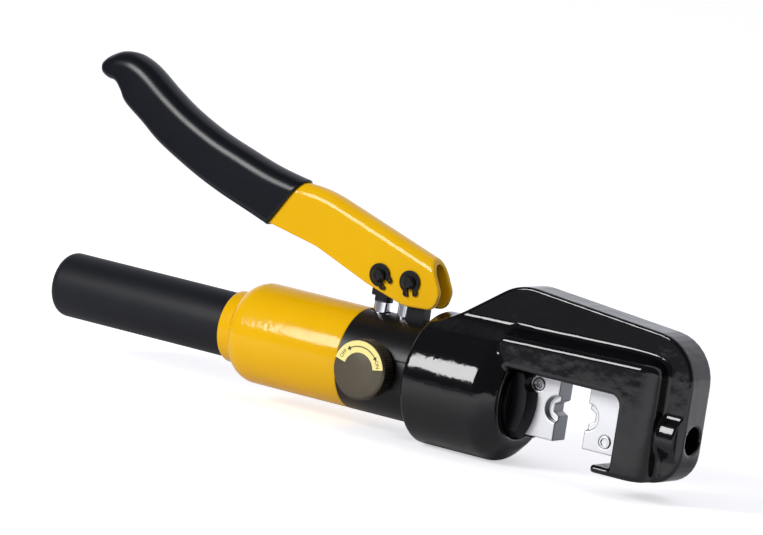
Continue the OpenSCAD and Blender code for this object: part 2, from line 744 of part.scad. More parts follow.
// Ram and dies
x_button = x_moving_face - button_back;
module ram() {
    wide = 2 * ram_r + 2 * over;
    color("#8a8c90") difference() {
        along_x(0) rotate_extrude() intersection() {
            translate([0, x_ram_rear]) square([ram_r, x_nose - x_ram_rear]);
            union() {
                translate([0, x_ram_rear]) square([ram_r, x_slot_floor - x_ram_rear]);
                translate([0, x_nose - ram_dome_r]) circle(ram_dome_r);
            }
        }
        for (s = [-1, 1]) translate([0, s * (ram_flat_w + ram_r) / 2, 0])
            block(x_barrel_front + flat_step, x_nose + over, ram_r, -wide / 2, wide / 2);
        block(x_slot_floor, x_nose + over, die_t + 2 * running, -wide / 2, wide / 2);
        rod_x(hollow_r, x_ram_rear - over, x_hollow);
        ring_x(ram_r - seal_h, ram_r + over, x_ram_rear + ram_seal_back, x_ram_rear + ram_seal_back + seal_w);
        rod_y(button_r + scallop, x_button, -ram_r, 0, button_h);
    }
}
module ram_seal() {
    x0 = x_ram_rear + ram_seal_back;
    color("#222222") ring_x(ram_r - seal_h + snug, ram_r, x0 + snug, x0 + seal_w - snug);
}
// One die with its face at x = 0 and its body behind it, towards -X; its nest lies round the middle
// of the gap that stays open at full stroke
module die() {
    mouth_slope = (nest_mouth_r - nest_floor_r) / nest_mouth_l;
    difference() {
        side_plate(die_t) polygon(rounded_outline([
            [0, die_h / 2, 0], [0, -die_h / 2, 0], [-die_l, -die_h / 2, throat_r + clear],
            [-die_l, die_h / 2, die_edge]]));
        along_y(clear / 2, -die_t / 2 - over, 0) {
            rotate(30) cylinder(r = nest_r, h = die_t + 2 * over, $fn = 6);
            cylinder(r1 = nest_mouth_r + mouth_slope * over, r2 = nest_floor_r, h = nest_mouth_l + over);
        }
        rod_y(button_r + running, -button_back, -die_t / 2 - over, button_bore_l - die_t / 2, button_h);
    }
}
module die_button() {
    rod_y(button_r, -button_back, -die_t / 2 - button_proud, button_l - button_proud - die_t / 2, button_h);
}
module button_spring() {
    along_y(-button_back, button_l - button_proud - die_t / 2, button_h)
        coil(button_coil_r, button_wire_r, button_bore_l - button_l + button_proud, button_turns);
}
module at_moving_die() { translate([x_moving_face, 0, 0]) children(); }
module at_fixed_die() { translate([x_fixed_face, 0, 0]) rotate([0, 180, 0]) children(); }
module moving_die() { color("#d9dbde") at_moving_die() die(); }
module moving_die_button() { color("#b9bbbf") at_moving_die() die_button(); }
module moving_button_spring() { color("#6f7074") at_moving_die() button_spring(); }
module fixed_die() {
    color("#d9dbde") {
        at_fixed_die() die();
        rod_x(stub_r, x_arm - over, x_arm + stub_l);
    }
}
module fixed_die_button() { color("#b9bbbf") at_fixed_die() die_button(); }
module fixed_button_spring() { color("#6f7074") at_fixed_die() button_spring(); }

// Plunger with a slot for the lever's pin
module pump_plunger() {
    color("#b9bbbf") difference() {
        union() {
            rod_z(plunger_r, x_plunger, -plunger_below, plunger_top);
            block(x_plunger - plunger_head_back, x_plunger - plunger_head_back + plunger_head_w, tongue_t,
                z_pin - plunger_head_drop, z_pin + head_round);
            intersection() {
                rod_z(plunger_r, x_plunger, plunger_top - over, z_pin);
                block(x_plunger - plunger_r, x_plunger + plunger_r, tongue_t, plunger_top - over, z_pin);
            }
        }
        rod_y(pin_r + clear, x_plunger, -tongue_t, tongue_t, z_pin);
        rod_y(pin_r + clear, x_plunger + pin_slot_l, -tongue_t, tongue_t, z_pin);
        block(x_plunger, x_plunger + pin_slot_l, 2 * tongue_t, z_pin - pin_r - clear, z_pin + pin_r + clear);
    }
}

// Lever: places from shares, channel, tail and grip
function at_lever(s) = [x_fulcrum + s[0] * lever_reach, z_pin + s[1] * lever_rise];
channel_corners = [for (s = channel_shares) let (p = at_lever(s)) [p[0], p[1], s[2] * lever_rise]];
top_front = flat(channel_corners[2]);
top_bend = flat(channel_corners[3]);
top_rear = flat(channel_corners[4]);
low_rear = flat(channel_corners[5]);
grip_line = unit(top_rear - low_rear);
front_edge = unit(top_front - flat(channel_corners[1]));
// Outline of the cheeks, which stands above the round roof
cheek_corners = [
    channel_corners[0], channel_corners[1],
    concat(top_front + front_edge * channel_w, 0), concat(top_rear + grip_line * channel_w, 0),
    for (i = [5:len(channel_corners) - 1]) channel_corners[i]];
grip_stations = concat(
    [[low_rear - grip_line * lever_grip_t, top_rear + grip_line * lever_grip_t, lever_grip_w]],
    [for (s = grip_shares) [at_lever([s[0], s[1]]), at_lever([s[2], s[3]]), s[4] * lever_grip_w]]);
// Smooth curve through the stations
function eased(a, b, c, d, t) =
    b + ((c - a) * t + (2 * a - 5 * b + 4 * c - d) * t * t + (3 * b - a - 3 * c + d) * t * t * t) / 2;
function between(list, i, t, field) =
    let (n = len(list) - 1)
    eased(list[max(i - 1, 0)][field], list[i][field], list[i + 1][field], list[min(i + 2, n)][field], t);
fine_stations = [
    for (i = [0:len(grip_stations) - 2], k = [0:grip_steps - 1])
        [for (field = [0:2]) between(grip_stations, i, k / grip_steps, field)],
    grip_stations[len(grip_stations) - 1]];
// Section from low to high: round top, flat sides and rounded lower edges, seen along the lever
function grip_section(low, high, w) =
    let (h = norm(high - low), up = unit(high - low),
         top = min(w / 2, h * grip_top_share), edge = min(grip_low_edge, h * (1 - grip_top_share)),
         sides = concat(
            [for (a = [0:15:180]) [w / 2 * cos(a), h - top + top * sin(a)]],
            [for (a = [180:30:270]) [edge * (1 + cos(a)) - w / 2, edge * (1 + sin(a))]],
            [for (a = [270:30:360]) [edge * (cos(a) - 1) + w / 2, edge * (1 + sin(a))]]))
    [for (q = sides) let (p = low + up * q[1]) [p[0], q[0], p[1]]];
// Outline of the tail: a share of the grip's height on both sides of its middle line
function tail_outline(share) =
    let (n = tail_stations)
    concat([at_lever(tail_start_shares[0])],
        [for (i = [0:n]) let (s = grip_stations[i]) (s[0] + s[1]) / 2 + (s[0] - s[1]) * share],
        [for (i = [n:-1:0]) let (s = grip_stations[i]) (s[0] + s[1]) / 2 + (s[1] - s[0]) * share],
        [at_lever(tail_start_shares[1])]);
function roof_slope(front, rear) = atan2(rear[1] - front[1], front[0] - rear[0]);
// Prism with a round top below the line from a front point to a rear one
module roof_along(front, rear, w, drop) {
    translate([front[0], 0, front[1]]) rotate([0, roof_slope(front, rear), 0])
        translate([-lever_reach, 0, -drop]) section_prism(2 * lever_reach) {
            translate([-w / 2, -lever_reach]) square([w, lever_reach - w / 2]);
            translate([0, -w / 2]) circle(w / 2);
        }
}
// The two roofs of the channel, mitred where it bends
module roof(w, drop) {
    mitre = (roof_slope(top_front, top_bend) + roof_slope(top_bend, top_rear)) / 2;
    for (run = [[top_front, top_bend, 0], [top_bend, top_rear, -lever_reach]])
        intersection() {
            roof_along(run[0], run[1], w, drop);
            translate([top_bend[0], 0, top_bend[1]]) rotate([0, mitre, 0])
                block(run[2], run[2] + lever_reach, channel_w + over, -lever_reach, lever_reach);
        }
}
module lever_channel() {
    inner = channel_w - 2 * channel_t;
    color("#f0b400") difference() {
        union() {
            difference() {
                intersection() {
                    side_plate(channel_w + over) polygon(rounded_outline(cheek_corners));
                    roof(channel_w, 0);
                }
                roof(inner, channel_t);
            }
            side_plate(inner + channel_t) polygon(tail_outline(tail_share));
        }
        for (x = [x_plunger, x_fulcrum]) rod_y(pin_r + snug, x, -channel_w, channel_w, z_pin);
    }
}
module lever_grip() {
    color("#2b2b2f") difference() {
        swept([for (s = fine_stations) grip_section(s[0], s[1], s[2])]);
        side_plate(channel_w - channel_t + 2 * snug) polygon(tail_outline(tail_share * tail_room_share));
    }
}
module lever_pin(x) {
    color("#26272a") difference() {
        rod_y(pin_r, x, -pin_l / 2, pin_l / 2, z_pin);
        for (s = [-1, 1]) translate([0, s * (channel_w / 2 + clip_t / 2 + snug), 0]) difference() {
            rod_y(pin_r + over, x, -clip_t / 2 - snug, clip_t / 2 + snug, z_pin);
            rod_y(pin_r - groove_depth, x, -clip_t, clip_t, z_pin);
        }
    }
}
module plunger_pin() { lever_pin(x_plunger); }
module fulcrum_pin() { lever_pin(x_fulcrum); }
// Retaining ring in its own plane, open towards +X, with an eyed ear on each side of the gap
module circlip() {
    linear_extrude(height = clip_t) difference() {
        union() {
            circle(clip_r);
            for (s = [-1, 1]) rotate(s * ear_angle) translate([ear_reach, 0]) circle(ear_r);
        }
        circle(pin_r - groove_depth + snug);
        translate([0, -clip_gap / 2]) square([ear_reach + ear_r * 2, clip_gap]);
        for (s = [-1, 1]) rotate(s * ear_angle) translate([ear_reach, 0]) circle(ear_hole_r);
    }
}
module pin_circlips() {
    places = [x_plunger, x_fulcrum];
    color("#26272a") for (i = [0, 1], s = [-1, 1])
        translate([places[i], s * (channel_w / 2 + snug + clip_t / 2) + clip_t / 2, z_pin])
            rotate([90, 0, 0]) rotate(clip_turns[i]) circlip();
}

crimp_head();
head_seal();
ram_wiper();
head_lock_screw();
pump_body();
plunger_gland();
plunger_seal();
fulcrum_lug();
spring_bolt();
return_spring();
suction_plug();
suction_ball();
delivery_plug();
delivery_ball();
delivery_spring();
relief_screw();
relief_spring();
relief_ball();
valve_gland();
valve_seal();
reservoir_seal();
reservoir_housing();
oil_bladder();
bladder_clip();
filler_plug();
handle_tube();
lower_grip();
ram();
ram_seal();
spring_retainer();
moving_die();
moving_die_button();
moving_button_spring();
fixed_die();
fixed_die_button();
fixed_button_spring();
release_knob();
release_dial();
valve_spindle();
knob_screw();
pump_plunger();
lever_channel();
lever_grip();
plunger_pin();
fulcrum_pin();
pin_circlips();
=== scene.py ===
# %% [markdown]
# # A hand-pumped hydraulic crimping tool
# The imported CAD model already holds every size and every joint. This lesson dresses it. Each piece
# that shows is worked out again with numpy as a smooth surface in the same place, and each finish
# is built from nodes. Lengths are in millimetres until a mesh is made, because that is how such a
# tool is drawn.

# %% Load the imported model
import json
import math

import bmesh
import bpy
import numpy as np
from mathutils import Matrix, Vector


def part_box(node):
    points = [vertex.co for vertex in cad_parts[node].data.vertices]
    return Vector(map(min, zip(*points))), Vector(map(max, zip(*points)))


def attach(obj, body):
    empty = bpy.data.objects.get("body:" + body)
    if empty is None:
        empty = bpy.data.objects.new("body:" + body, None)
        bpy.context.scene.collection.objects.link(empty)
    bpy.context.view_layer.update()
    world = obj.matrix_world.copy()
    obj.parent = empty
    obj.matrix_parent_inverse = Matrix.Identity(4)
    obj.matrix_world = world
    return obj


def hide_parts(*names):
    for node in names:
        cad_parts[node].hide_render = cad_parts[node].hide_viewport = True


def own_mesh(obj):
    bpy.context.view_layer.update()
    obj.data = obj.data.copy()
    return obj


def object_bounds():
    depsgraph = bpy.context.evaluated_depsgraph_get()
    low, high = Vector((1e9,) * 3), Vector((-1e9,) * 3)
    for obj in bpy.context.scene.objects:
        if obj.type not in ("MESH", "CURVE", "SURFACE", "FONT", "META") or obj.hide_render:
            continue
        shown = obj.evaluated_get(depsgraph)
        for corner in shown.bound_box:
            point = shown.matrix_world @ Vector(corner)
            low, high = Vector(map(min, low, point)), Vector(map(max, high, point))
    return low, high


MM = 0.001
TURN = 2 * math.pi

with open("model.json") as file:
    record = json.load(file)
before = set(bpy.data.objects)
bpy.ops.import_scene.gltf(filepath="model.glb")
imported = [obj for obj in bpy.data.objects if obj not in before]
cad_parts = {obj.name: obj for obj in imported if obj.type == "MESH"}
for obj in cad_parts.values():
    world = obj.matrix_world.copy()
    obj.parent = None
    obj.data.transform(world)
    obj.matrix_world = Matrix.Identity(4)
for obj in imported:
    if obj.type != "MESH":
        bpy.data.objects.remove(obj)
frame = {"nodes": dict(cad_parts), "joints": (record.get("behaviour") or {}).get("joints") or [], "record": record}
cad_box = [list(corner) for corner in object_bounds()]


def limits(node):
    """Lowest and highest corner of a CAD node, in millimetres."""
    low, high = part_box(node)
    return np.array(low) / MM, np.array(high) / MM


def unit(vector):
    """The vector at length one."""
    return vector / np.linalg.norm(vector)


def stand(name, data, axes=np.eye(3), spot=(0, 0, 0)):
    """A new object in the scene: its axes are the columns of its matrix, and its origin is at the spot."""
    made = bpy.data.objects.new(name, data)
    pose = np.eye(4)
    pose[:3, :3] = np.stack(axes, 1)
    pose[:3, 3] = np.array(spot) * MM
    made.matrix_world = Matrix(pose.tolist())
    bpy.context.scene.collection.objects.link(made)
    return made


print("nodes:", len(frame["nodes"]), "box in mm:", [[round(v / MM, 1) for v in c] for c in cad_box])

# %% [markdown]
# ## Camera
# The photograph was taken from far off, so its lines hardly converge. A long lens gives the same
# flat perspective. The camera looks along its own -Z axis, so its matrix is built from three
# directions: right, up, and back towards the camera. The tool is tilted in the picture, which is a
# roll of the camera about its line of sight.

# %% Camera at the photograph's angle
IMAGE_WIDTH = 763
FOCAL_PIXELS = 8000
SENSOR = 36
AZIMUTH, ELEVATION, ROLL = (math.radians(angle) for angle in (31.87, 8.02, 8.87))
CAMERA_DISTANCE = 3410
FARTHEST = 100
CAMERA_TARGET = np.array([-163.96, 0, 39.95])

back = np.array([
    math.sin(AZIMUTH) * math.cos(ELEVATION),
    -math.cos(AZIMUTH) * math.cos(ELEVATION),
    math.sin(ELEVATION),
])
level_right = np.array([math.cos(AZIMUTH), math.sin(AZIMUTH), 0])
level_up = np.cross(back, level_right)
camera_right = level_right * math.cos(ROLL) + level_up * math.sin(ROLL)
camera_up = level_up * math.cos(ROLL) - level_right * math.sin(ROLL)

optics = bpy.data.cameras.new("camera")
optics.sensor_width = SENSOR
optics.lens = FOCAL_PIXELS * SENSOR / IMAGE_WIDTH
optics.clip_end = FARTHEST
bpy.context.scene.camera = stand(
    "camera", optics, [camera_right, camera_up, back], CAMERA_TARGET + back * CAMERA_DISTANCE)
print("lens in mm:", round(optics.lens, 1))

# %% [markdown]
# ## Nodes and colours
# A colour is written as the sRGB hex value that it has in a picture. Shaders count in linear light,
# so one function turns it. Two more add a node with its settings and feed its inputs, which keeps
# each finish short. Patterns take their scale from a real size in millimetres.


# %% Small helpers for finishes
def linear(code):
    """Linear RGBA of an sRGB hex value: the sRGB curve undone, channel by channel."""
    value = np.array([int(code[i:i + 2], 16) for i in (1, 3, 5)]) / 255
    curved = np.where(value <= 0.04045, value / 12.92, ((value + 0.055) / 1.055) ** 2.4)
    return (*curved.tolist(), 1.0)


def feed(node, sockets):
    """Feeds a node's inputs: each from a value, a colour, an output or another node's first output."""
    for key, value in sockets.items():
        if isinstance(value, bpy.types.Node):
            value = next(output for output in value.outputs if output.enabled)
        if isinstance(value, bpy.types.NodeSocket):
            node.id_data.links.new(value, node.inputs[key])
        else:
            node.inputs[key].default_value = linear(value) if isinstance(value, str) else value


def add(tree, kind, sockets=None, **settings):
    """One node: settings are its properties, sockets are what feeds its inputs."""
    made = tree.nodes.new("ShaderNode" + kind)
    for key, value in settings.items():
        setattr(made, key, value)
    feed(made, sockets or {})
    return made


def every(size):
    """Scale of a pattern whose features are this many millimetres apart."""
    return 1 / (size * MM)


finishes = {}


def new_finish(slot, name, **constants):
    """The material of a slot, with constants for its shader. Gives the tree, the shader and the place."""
    finishes[slot] = bpy.data.materials.new(name)
    finishes[slot].use_nodes = True
    tree = finishes[slot].node_tree
    shader = tree.nodes["Principled BSDF"]
    feed(shader, {key.replace("_", " "): value for key, value in constants.items()})
    print("finish of", slot + ":", name)
    return tree, shader, add(tree, "TexCoord").outputs["Object"]


print("helpers ready")

# %% [markdown]
# ## Light and floor
# Gloss paint is a mirror, so the black head shows what stood round it: one wide soft box to the left
# of the camera, a pale sheet of paper under the tool that rises behind it, a bright ceiling behind
# it to the right, and a dim room behind the camera. A bar of light on a cylinder says where its lamp
# is, since the lamp lies where the line of sight is mirrored. The paper ends a little way in front of
# the tool, which is why the upright faces, which mirror what lies further off, are darker than the
# ones that look down.

# %% Lamps
def lamp(name, kind, toward, distance, **settings):
    """A lamp in the direction toward, as seen from the tool's middle, and aimed at it."""
    data = bpy.data.lights.new(name, kind)
    for key, value in settings.items():
        setattr(data, key, value)
    print(name, "at", distance, "mm")
    away = unit(np.array(toward))
    side = unit(np.cross([0, 0, 1], away))
    return stand(name, data, [side, np.cross(away, side), away], CAMERA_TARGET + away * distance)


lamp("soft_box", "AREA", (-0.397, -0.829, 0.395), 1333, energy=12, shape="RECTANGLE", size=0.45, size_y=0.5)
# Bounced light has no image of its own in the gloss
bounce = lamp("ceiling_light", "SUN", (0.25, 0.35, 1), 2000, energy=0.5, angle=math.radians(70))
bounce.visible_glossy = False

# %% Room
ROOM_LIGHT = 0.36
BACKDROP = 1.05
DIM_ROOM = 0.1
CEILING = 1.6
# Where each fades, as parts of a direction of length one
BEHIND = 0.35
PAPER_TOP = (0.2, 0.8)
CEILING_EDGE = (-0.55, -0.25)

world = bpy.data.worlds.new("studio")
world.use_nodes = True
bpy.context.scene.world = world
bpy.context.scene.view_settings.view_transform = "Standard"


def seen_directly(tree):
    """One for rays from the camera, a mirror or a glass, and zero for those that only carry light."""
    path = add(tree, "LightPath").outputs
    seen = add(tree, "Math", {0: path["Is Camera Ray"], 1: path["Is Glossy Ray"]}, operation="MAXIMUM")
    return add(tree, "Math", {0: seen, 1: path["Is Transmission Ray"]}, operation="MAXIMUM")


tree = world.node_tree
ray = add(tree, "TexCoord").outputs["Generated"]
way = add(tree, "SeparateXYZ", {"Vector": ray}).outputs
behind = add(tree, "MapRange", {"Value": way["Y"], "From Min": 0, "From Max": BEHIND})
low = add(tree, "MapRange", {"Value": way["Z"], "From Min": PAPER_TOP[1], "From Max": PAPER_TOP[0]})
paper = add(tree, "Math", {0: behind, 1: low}, operation="MULTIPLY")
# The ceiling is bright too, but only to the right of the tool
right = add(tree, "MapRange", {
    "Value": way["X"], "From Min": CEILING_EDGE[0], "From Max": CEILING_EDGE[1], "To Max": CEILING})
ceiling = add(tree, "Math", {0: behind, 1: right}, operation="MULTIPLY")
paper = add(tree, "Math", {0: paper, 1: ceiling}, operation="MAXIMUM")
shown = add(tree, "MapRange", {"Value": paper, "To Min": DIM_ROOM, "To Max": BACKDROP})
strength = add(tree, "Mix", {"Factor": seen_directly(tree), "A": ROOM_LIGHT, "B": shown})
feed(tree.nodes["Background"], {"Color": "#f6f7ff", "Strength": strength})
print("room light:", ROOM_LIGHT)

# %% Finish: floor paper
MIRRORED_SIGHT = (-0.53, -0.85, 0)
PAPER_EDGE = (320, 410)
PAPER_GLOW = 0.55
NEAR_PAINTED_GLOW = 0.75
NEAR_EDGE = (80, 430)
UNDER_EDGE = (40, 130)

tree, shader, place = new_finish("floor", "pale_floor_paper", Roughness=0.9, Specular_IOR_Level=0.1)
grain = add(tree, "TexNoise", {"Vector": place, "Scale": every(40), "Detail": 3})
sheet = add(tree, "Mix", {"Factor": grain, "A": "#f1f1f3", "B": "#f5f5f7"}, data_type="RGBA")
ahead = add(tree, "VectorMath", {0: place, 1: MIRRORED_SIGHT}, operation="DOT_PRODUCT")
ahead = ahead.outputs["Value"]
on_paper = add(tree, "MapRange", {
    "Value": ahead, "From Min": PAPER_EDGE[1] * MM, "From Max": PAPER_EDGE[0] * MM},
    interpolation_type="SMOOTHSTEP")
# The camera sees a white sheet everywhere. The gloss sees where it ends
path = add(tree, "LightPath").outputs
white = add(tree, "Math", {0: on_paper, 1: path["Is Camera Ray"]}, operation="MAXIMUM")
tint = add(tree, "Mix", {"Factor": white, "A": "#77787c", "B": sheet}, data_type="RGBA")
# The picture was exposed for a white sheet. In the gloss a painted glow, emission seen only by mirror rays, makes
# the sheet brightest beside the tool
in_view = add(tree, "Math", {0: path["Is Camera Ray"], 1: PAPER_GLOW}, operation="MULTIPLY")
close = add(tree, "MapRange", {
    "Value": ahead, "From Min": NEAR_EDGE[1] * MM, "From Max": NEAR_EDGE[0] * MM, "To Max": NEAR_PAINTED_GLOW},
    interpolation_type="SMOOTHSTEP")
across = add(tree, "SeparateXYZ", {"Vector": place}).outputs["Y"]
across = add(tree, "Math", {0: across}, operation="ABSOLUTE")
beside = add(tree, "MapRange", {
    "Value": across, "From Min": UNDER_EDGE[0] * MM, "From Max": UNDER_EDGE[1] * MM})
close = add(tree, "Math", {0: close, 1: beside}, operation="MULTIPLY")
painted_glow = add(tree, "Math", {0: path["Is Glossy Ray"], 1: close, 2: in_view}, operation="MULTIPLY_ADD")
feed(shader, {"Base Color": tint, "Emission Color": "#fdfdff", "Emission Strength": painted_glow})

# %% Floor under the lowest point
FLOOR_REACH = 9000
floor_z = cad_box[0][2] / MM
corner = np.array([[-1, -1], [1, -1], [1, 1], [-1, 1]]) * FLOOR_REACH
floor_points = np.column_stack([corner, np.full(4, floor_z)]) * MM
floor_mesh = bpy.data.meshes.new("floor")
floor_mesh.from_pydata(floor_points.tolist(), [], [(0, 1, 2, 3)])
floor_mesh.materials.append(finishes["floor"])
floor = stand("floor", floor_mesh)
print("floor at z =", round(floor_z, 2), "mm")

# %% [markdown]
# ## Surfaces on a grid
# Most pieces of this tool were turned on a lathe, so most surfaces here are one profile carried
# round an axis: a grid with one direction along the profile and the other round the axis. An
# outline with named corners becomes a profile once its corners are rounded by arcs.


# %% Outlines and lathes
def outline(corners, steps=8):
    """Corners (u, v, radius), each replaced by an arc that touches both of its sides."""
    spots = np.array([corner[:2] for corner in corners], float)
    before, after = np.roll(spots, 1, 0), np.roll(spots, -1, 0)
    parts = []
    for here, prior, following, (_, _, radius) in zip(spots, before, after, corners):
        if radius == 0:
            parts.append(here[None])
            continue
        a, b = unit(prior - here), unit(following - here)
        half = math.acos(np.clip(a @ b, -1, 1)) / 2
        centre = here + unit(a + b) * radius / math.sin(half)
        start = here + a * radius / math.tan(half) - centre
        end = here + b * radius / math.tan(half) - centre
        sweep = math.pi - 2 * half
        t = np.linspace(0, 1, steps + 1)[:, None]
        parts.append(centre + (start * np.sin((1 - t) * sweep) + end * np.sin(t * sweep)) / math.sin(sweep))
    return np.concatenate(parts)


def grid_faces(rows, columns, loop=False):
    """Quads of a grid that is closed round its columns, and round its rows too if loop is set."""
    number = np.arange(rows * columns).reshape(rows, columns)
    if loop:
        number = np.concatenate([number, number[:1]])
    ahead = np.roll(number, -1, 1)
    return np.stack([number[:-1], number[1:], ahead[1:], ahead[:-1]], -1).reshape(-1, 4)


def lathe(profile, axis="X", centre=(0, 0, 0), sides=128):
    """Profile points (along, radius) carried round an axis: along stays, radius turns into a circle."""
    turn = np.linspace(0, TURN, sides, endpoint=False)
    along = np.repeat(profile[:, :1], sides, 1)
    circle = [profile[:, 1:] * np.cos(turn), profile[:, 1:] * np.sin(turn)]
    circle.insert("XYZ".index(axis), along)
    return np.stack(circle, -1) + np.array(centre)


# %% Pieces
def capped(grid):
    """The grid with one more row at each end, which lies at the middle of the row beside it."""
    ends = [np.broadcast_to(grid[i].mean(0), grid[:1].shape) for i in (0, -1)]
    return np.concatenate([ends[0], grid, ends[1]])


def close_up(mesh):
    """Closes a mesh's seams and poles and turns its faces outwards."""
    work = bmesh.new()
    work.from_mesh(mesh)
    bmesh.ops.remove_doubles(work, verts=work.verts, dist=1e-7)
    bmesh.ops.dissolve_degenerate(work, edges=work.edges, dist=1e-8)
    bmesh.ops.recalc_face_normals(work, faces=work.faces)
    work.to_mesh(mesh)
    work.free()


def piece(name, points, body, slot, stands_for=(), crease=40, finish=None, faces=None, loop=False):
    """Makes a closed mesh from a grid of points, or from points and faces, and puts it on its body."""
    if faces is None:
        faces = grid_faces(*points.shape[:2], loop)
    mesh = bpy.data.meshes.new(name)
    mesh.from_pydata((points.reshape(-1, 3) * MM).tolist(), [], faces.tolist())
    close_up(mesh)
    mesh.shade_smooth()
    mesh.set_sharp_from_angle(angle=math.radians(crease))
    return placed(name, mesh, body, slot, stands_for, finish)


def placed(name, mesh, body, slot, stands_for, finish=None):
    """Puts a mesh into the scene, in the CAD frame, with the finish of its slot unless another is given."""
    mesh.materials.clear()
    mesh.materials.append(finish or finishes[slot])
    made = stand(name, mesh)
    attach(made, body)
    if stands_for:
        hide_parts(*stands_for)
    print(name, "faces:", len(mesh.polygons))
    return made


def turned(name, profile, body, slot, stands_for=(), loop=False, finish=None, **way):
    """A piece from one profile on a lathe."""
    piece(name, lathe(profile, **way), body, slot, stands_for, finish=finish, loop=loop)


# %% [markdown]
# ## Yellow enamel
# The reservoir and the lever are steel with sprayed enamel. The colour is dull and lies under a clear
# skin. Spray leaves a fine orange peel on that skin, which breaks the edges of a highlight into
# grains. The real grains are about 1.5 mm apart.

# %% Finish: sprayed yellow enamel
tree, shader, place = new_finish(
    "yellow_paint", "sprayed_yellow_enamel", Roughness=0.42, Specular_IOR_Level=0.05, Coat_Weight=0.8,
    Coat_Roughness=0.06, Coat_IOR=1.36)
cloud = add(tree, "TexNoise", {"Vector": place, "Scale": every(30), "Detail": 2})
tint = add(tree, "Mix", {"Factor": cloud, "A": "#ecb300", "B": "#f4bd00"}, data_type="RGBA")
peel = add(tree, "TexNoise", {"Vector": place, "Scale": every(1.5), "Detail": 1})
bump = add(tree, "Bump", {"Height": peel, "Distance": 0.09 * MM})
feed(shader, {"Base Color": tint, "Coat Normal": bump})

# %% [markdown]
# ## Reservoir housing
# The housing is a turned steel cup: a straight cylinder, a round shoulder like a bottle's, and a
# neck ring that holds the handle. Its profile runs round the wall once, outside and inside, so the
# grid is closed in both directions and the cavity is really there.

# %% Housing from a closed profile
(housing_rear, *_), (housing_front, housing_r, _) = limits("reservoir_housing")
NECK_R = 15.7
NECK_LENGTH = 6.1
SPIGOT_R = 19
CAVITY_R = 17.5
TUBE_R = limits("handle_tube")[1][1]
SPIGOT_LENGTH = 11.3
CAVITY_END = 18
EDGE = 0.7
SHOULDER_R = 11

neck_front = housing_rear + NECK_LENGTH
shoulder_centre = housing_r - SHOULDER_R
first = math.asin((NECK_R - shoulder_centre) / SHOULDER_R)
shoulder_x = neck_front + SHOULDER_R * math.cos(first)
rise = np.linspace(first, math.pi / 2, 24)
shoulder = np.column_stack([
    shoulder_x - SHOULDER_R * np.cos(rise), shoulder_centre + SHOULDER_R * np.sin(rise)])
wall_outside = outline([
    (housing_rear, TUBE_R, 0), (housing_rear, NECK_R, 1.2), (neck_front, NECK_R, 0), (neck_front, 0, 0),
])[:-2]
wall_inside = outline([
    (housing_front, housing_r, EDGE), (housing_front, SPIGOT_R, EDGE),
    (housing_front - SPIGOT_LENGTH, SPIGOT_R, 0), (housing_front - SPIGOT_LENGTH, CAVITY_R, 0),
    (housing_rear + CAVITY_END, CAVITY_R, 2), (housing_rear + CAVITY_END, TUBE_R, 0),
    (shoulder_x, TUBE_R, 0), (shoulder_x, housing_r, 0),
])[:-2]
wall = np.concatenate([wall_outside, shoulder, wall_inside])
turned("reservoir_shell", wall, "frame", "yellow_paint", ["reservoir_housing"], loop=True, sides=160)

# %% [markdown]
# ## Sleeves
# Both handles wear a black vinyl sleeve. The lever's was dipped, so it is smooth and shows a crisp
# line of light. The lower one was moulded in a blasted tool, so it is dull and spreads the light
# into a broad band. Both have faint drag lines along their length.

# %% Finish: two black vinyls
for slot, name, smooth, dull in (
    ("grip_rubber", "moulded_black_vinyl", 0.48, 0.58),
    ("lever_vinyl", "dipped_black_vinyl", 0.24, 0.32),
):
    tree, shader, place = new_finish(slot, name, IOR=1.36)
    drag = add(tree, "Mapping", {"Vector": place, "Scale": (0.08, 1, 1)})
    line = add(tree, "TexNoise", {"Vector": drag, "Scale": every(2.5), "Detail": 3})
    wave = add(tree, "TexNoise", {"Vector": place, "Scale": every(14), "Detail": 1})
    tint = add(tree, "Mix", {"Factor": wave, "A": "#0e0f15", "B": "#13151d"}, data_type="RGBA")
    rough = add(tree, "MapRange", {"Value": line, "To Min": smooth, "To Max": dull})
    bump = add(tree, "Bump", {"Height": wave, "Distance": 0.06 * MM})
    bump = add(tree, "Bump", {"Height": line, "Distance": 0.008 * MM, "Normal": bump})
    feed(shader, {"Base Color": tint, "Roughness": rough, "Normal": bump})

# %% Lower sleeve, closed at its end
(grip_rear, *_), (grip_front, grip_r, _) = limits("lower_grip")
GRIP_END_T = 4
GRIP_END_EDGE = 4.5
sleeve = outline([
    (grip_rear + GRIP_END_T, 0, 0), (grip_rear + GRIP_END_T, TUBE_R, 1), (grip_front, TUBE_R, 0),
    (grip_front, grip_r, EDGE), (grip_rear, grip_r, GRIP_END_EDGE), (grip_rear, 0, 0),
], steps=12)
turned("lower_sleeve", sleeve, "frame", "grip_rubber", ["lower_grip"])

# %% [markdown]
# ## Sleeve of the lever
# This sleeve is drawn over the lever's folded sheet, so its section has the sheet's form: a round
# top, flat sides and rounded lower edges. The section is carried along a path of stations. Each
# station names the lower edge, the upper edge and the width, and a smooth curve through them gives
# all the sections between.

# %% Stations of the lever's sleeve
fulcrum = next(np.array(j["pos_m"]) / MM for j in frame["joints"] if j["name"] == "lever_pivot")
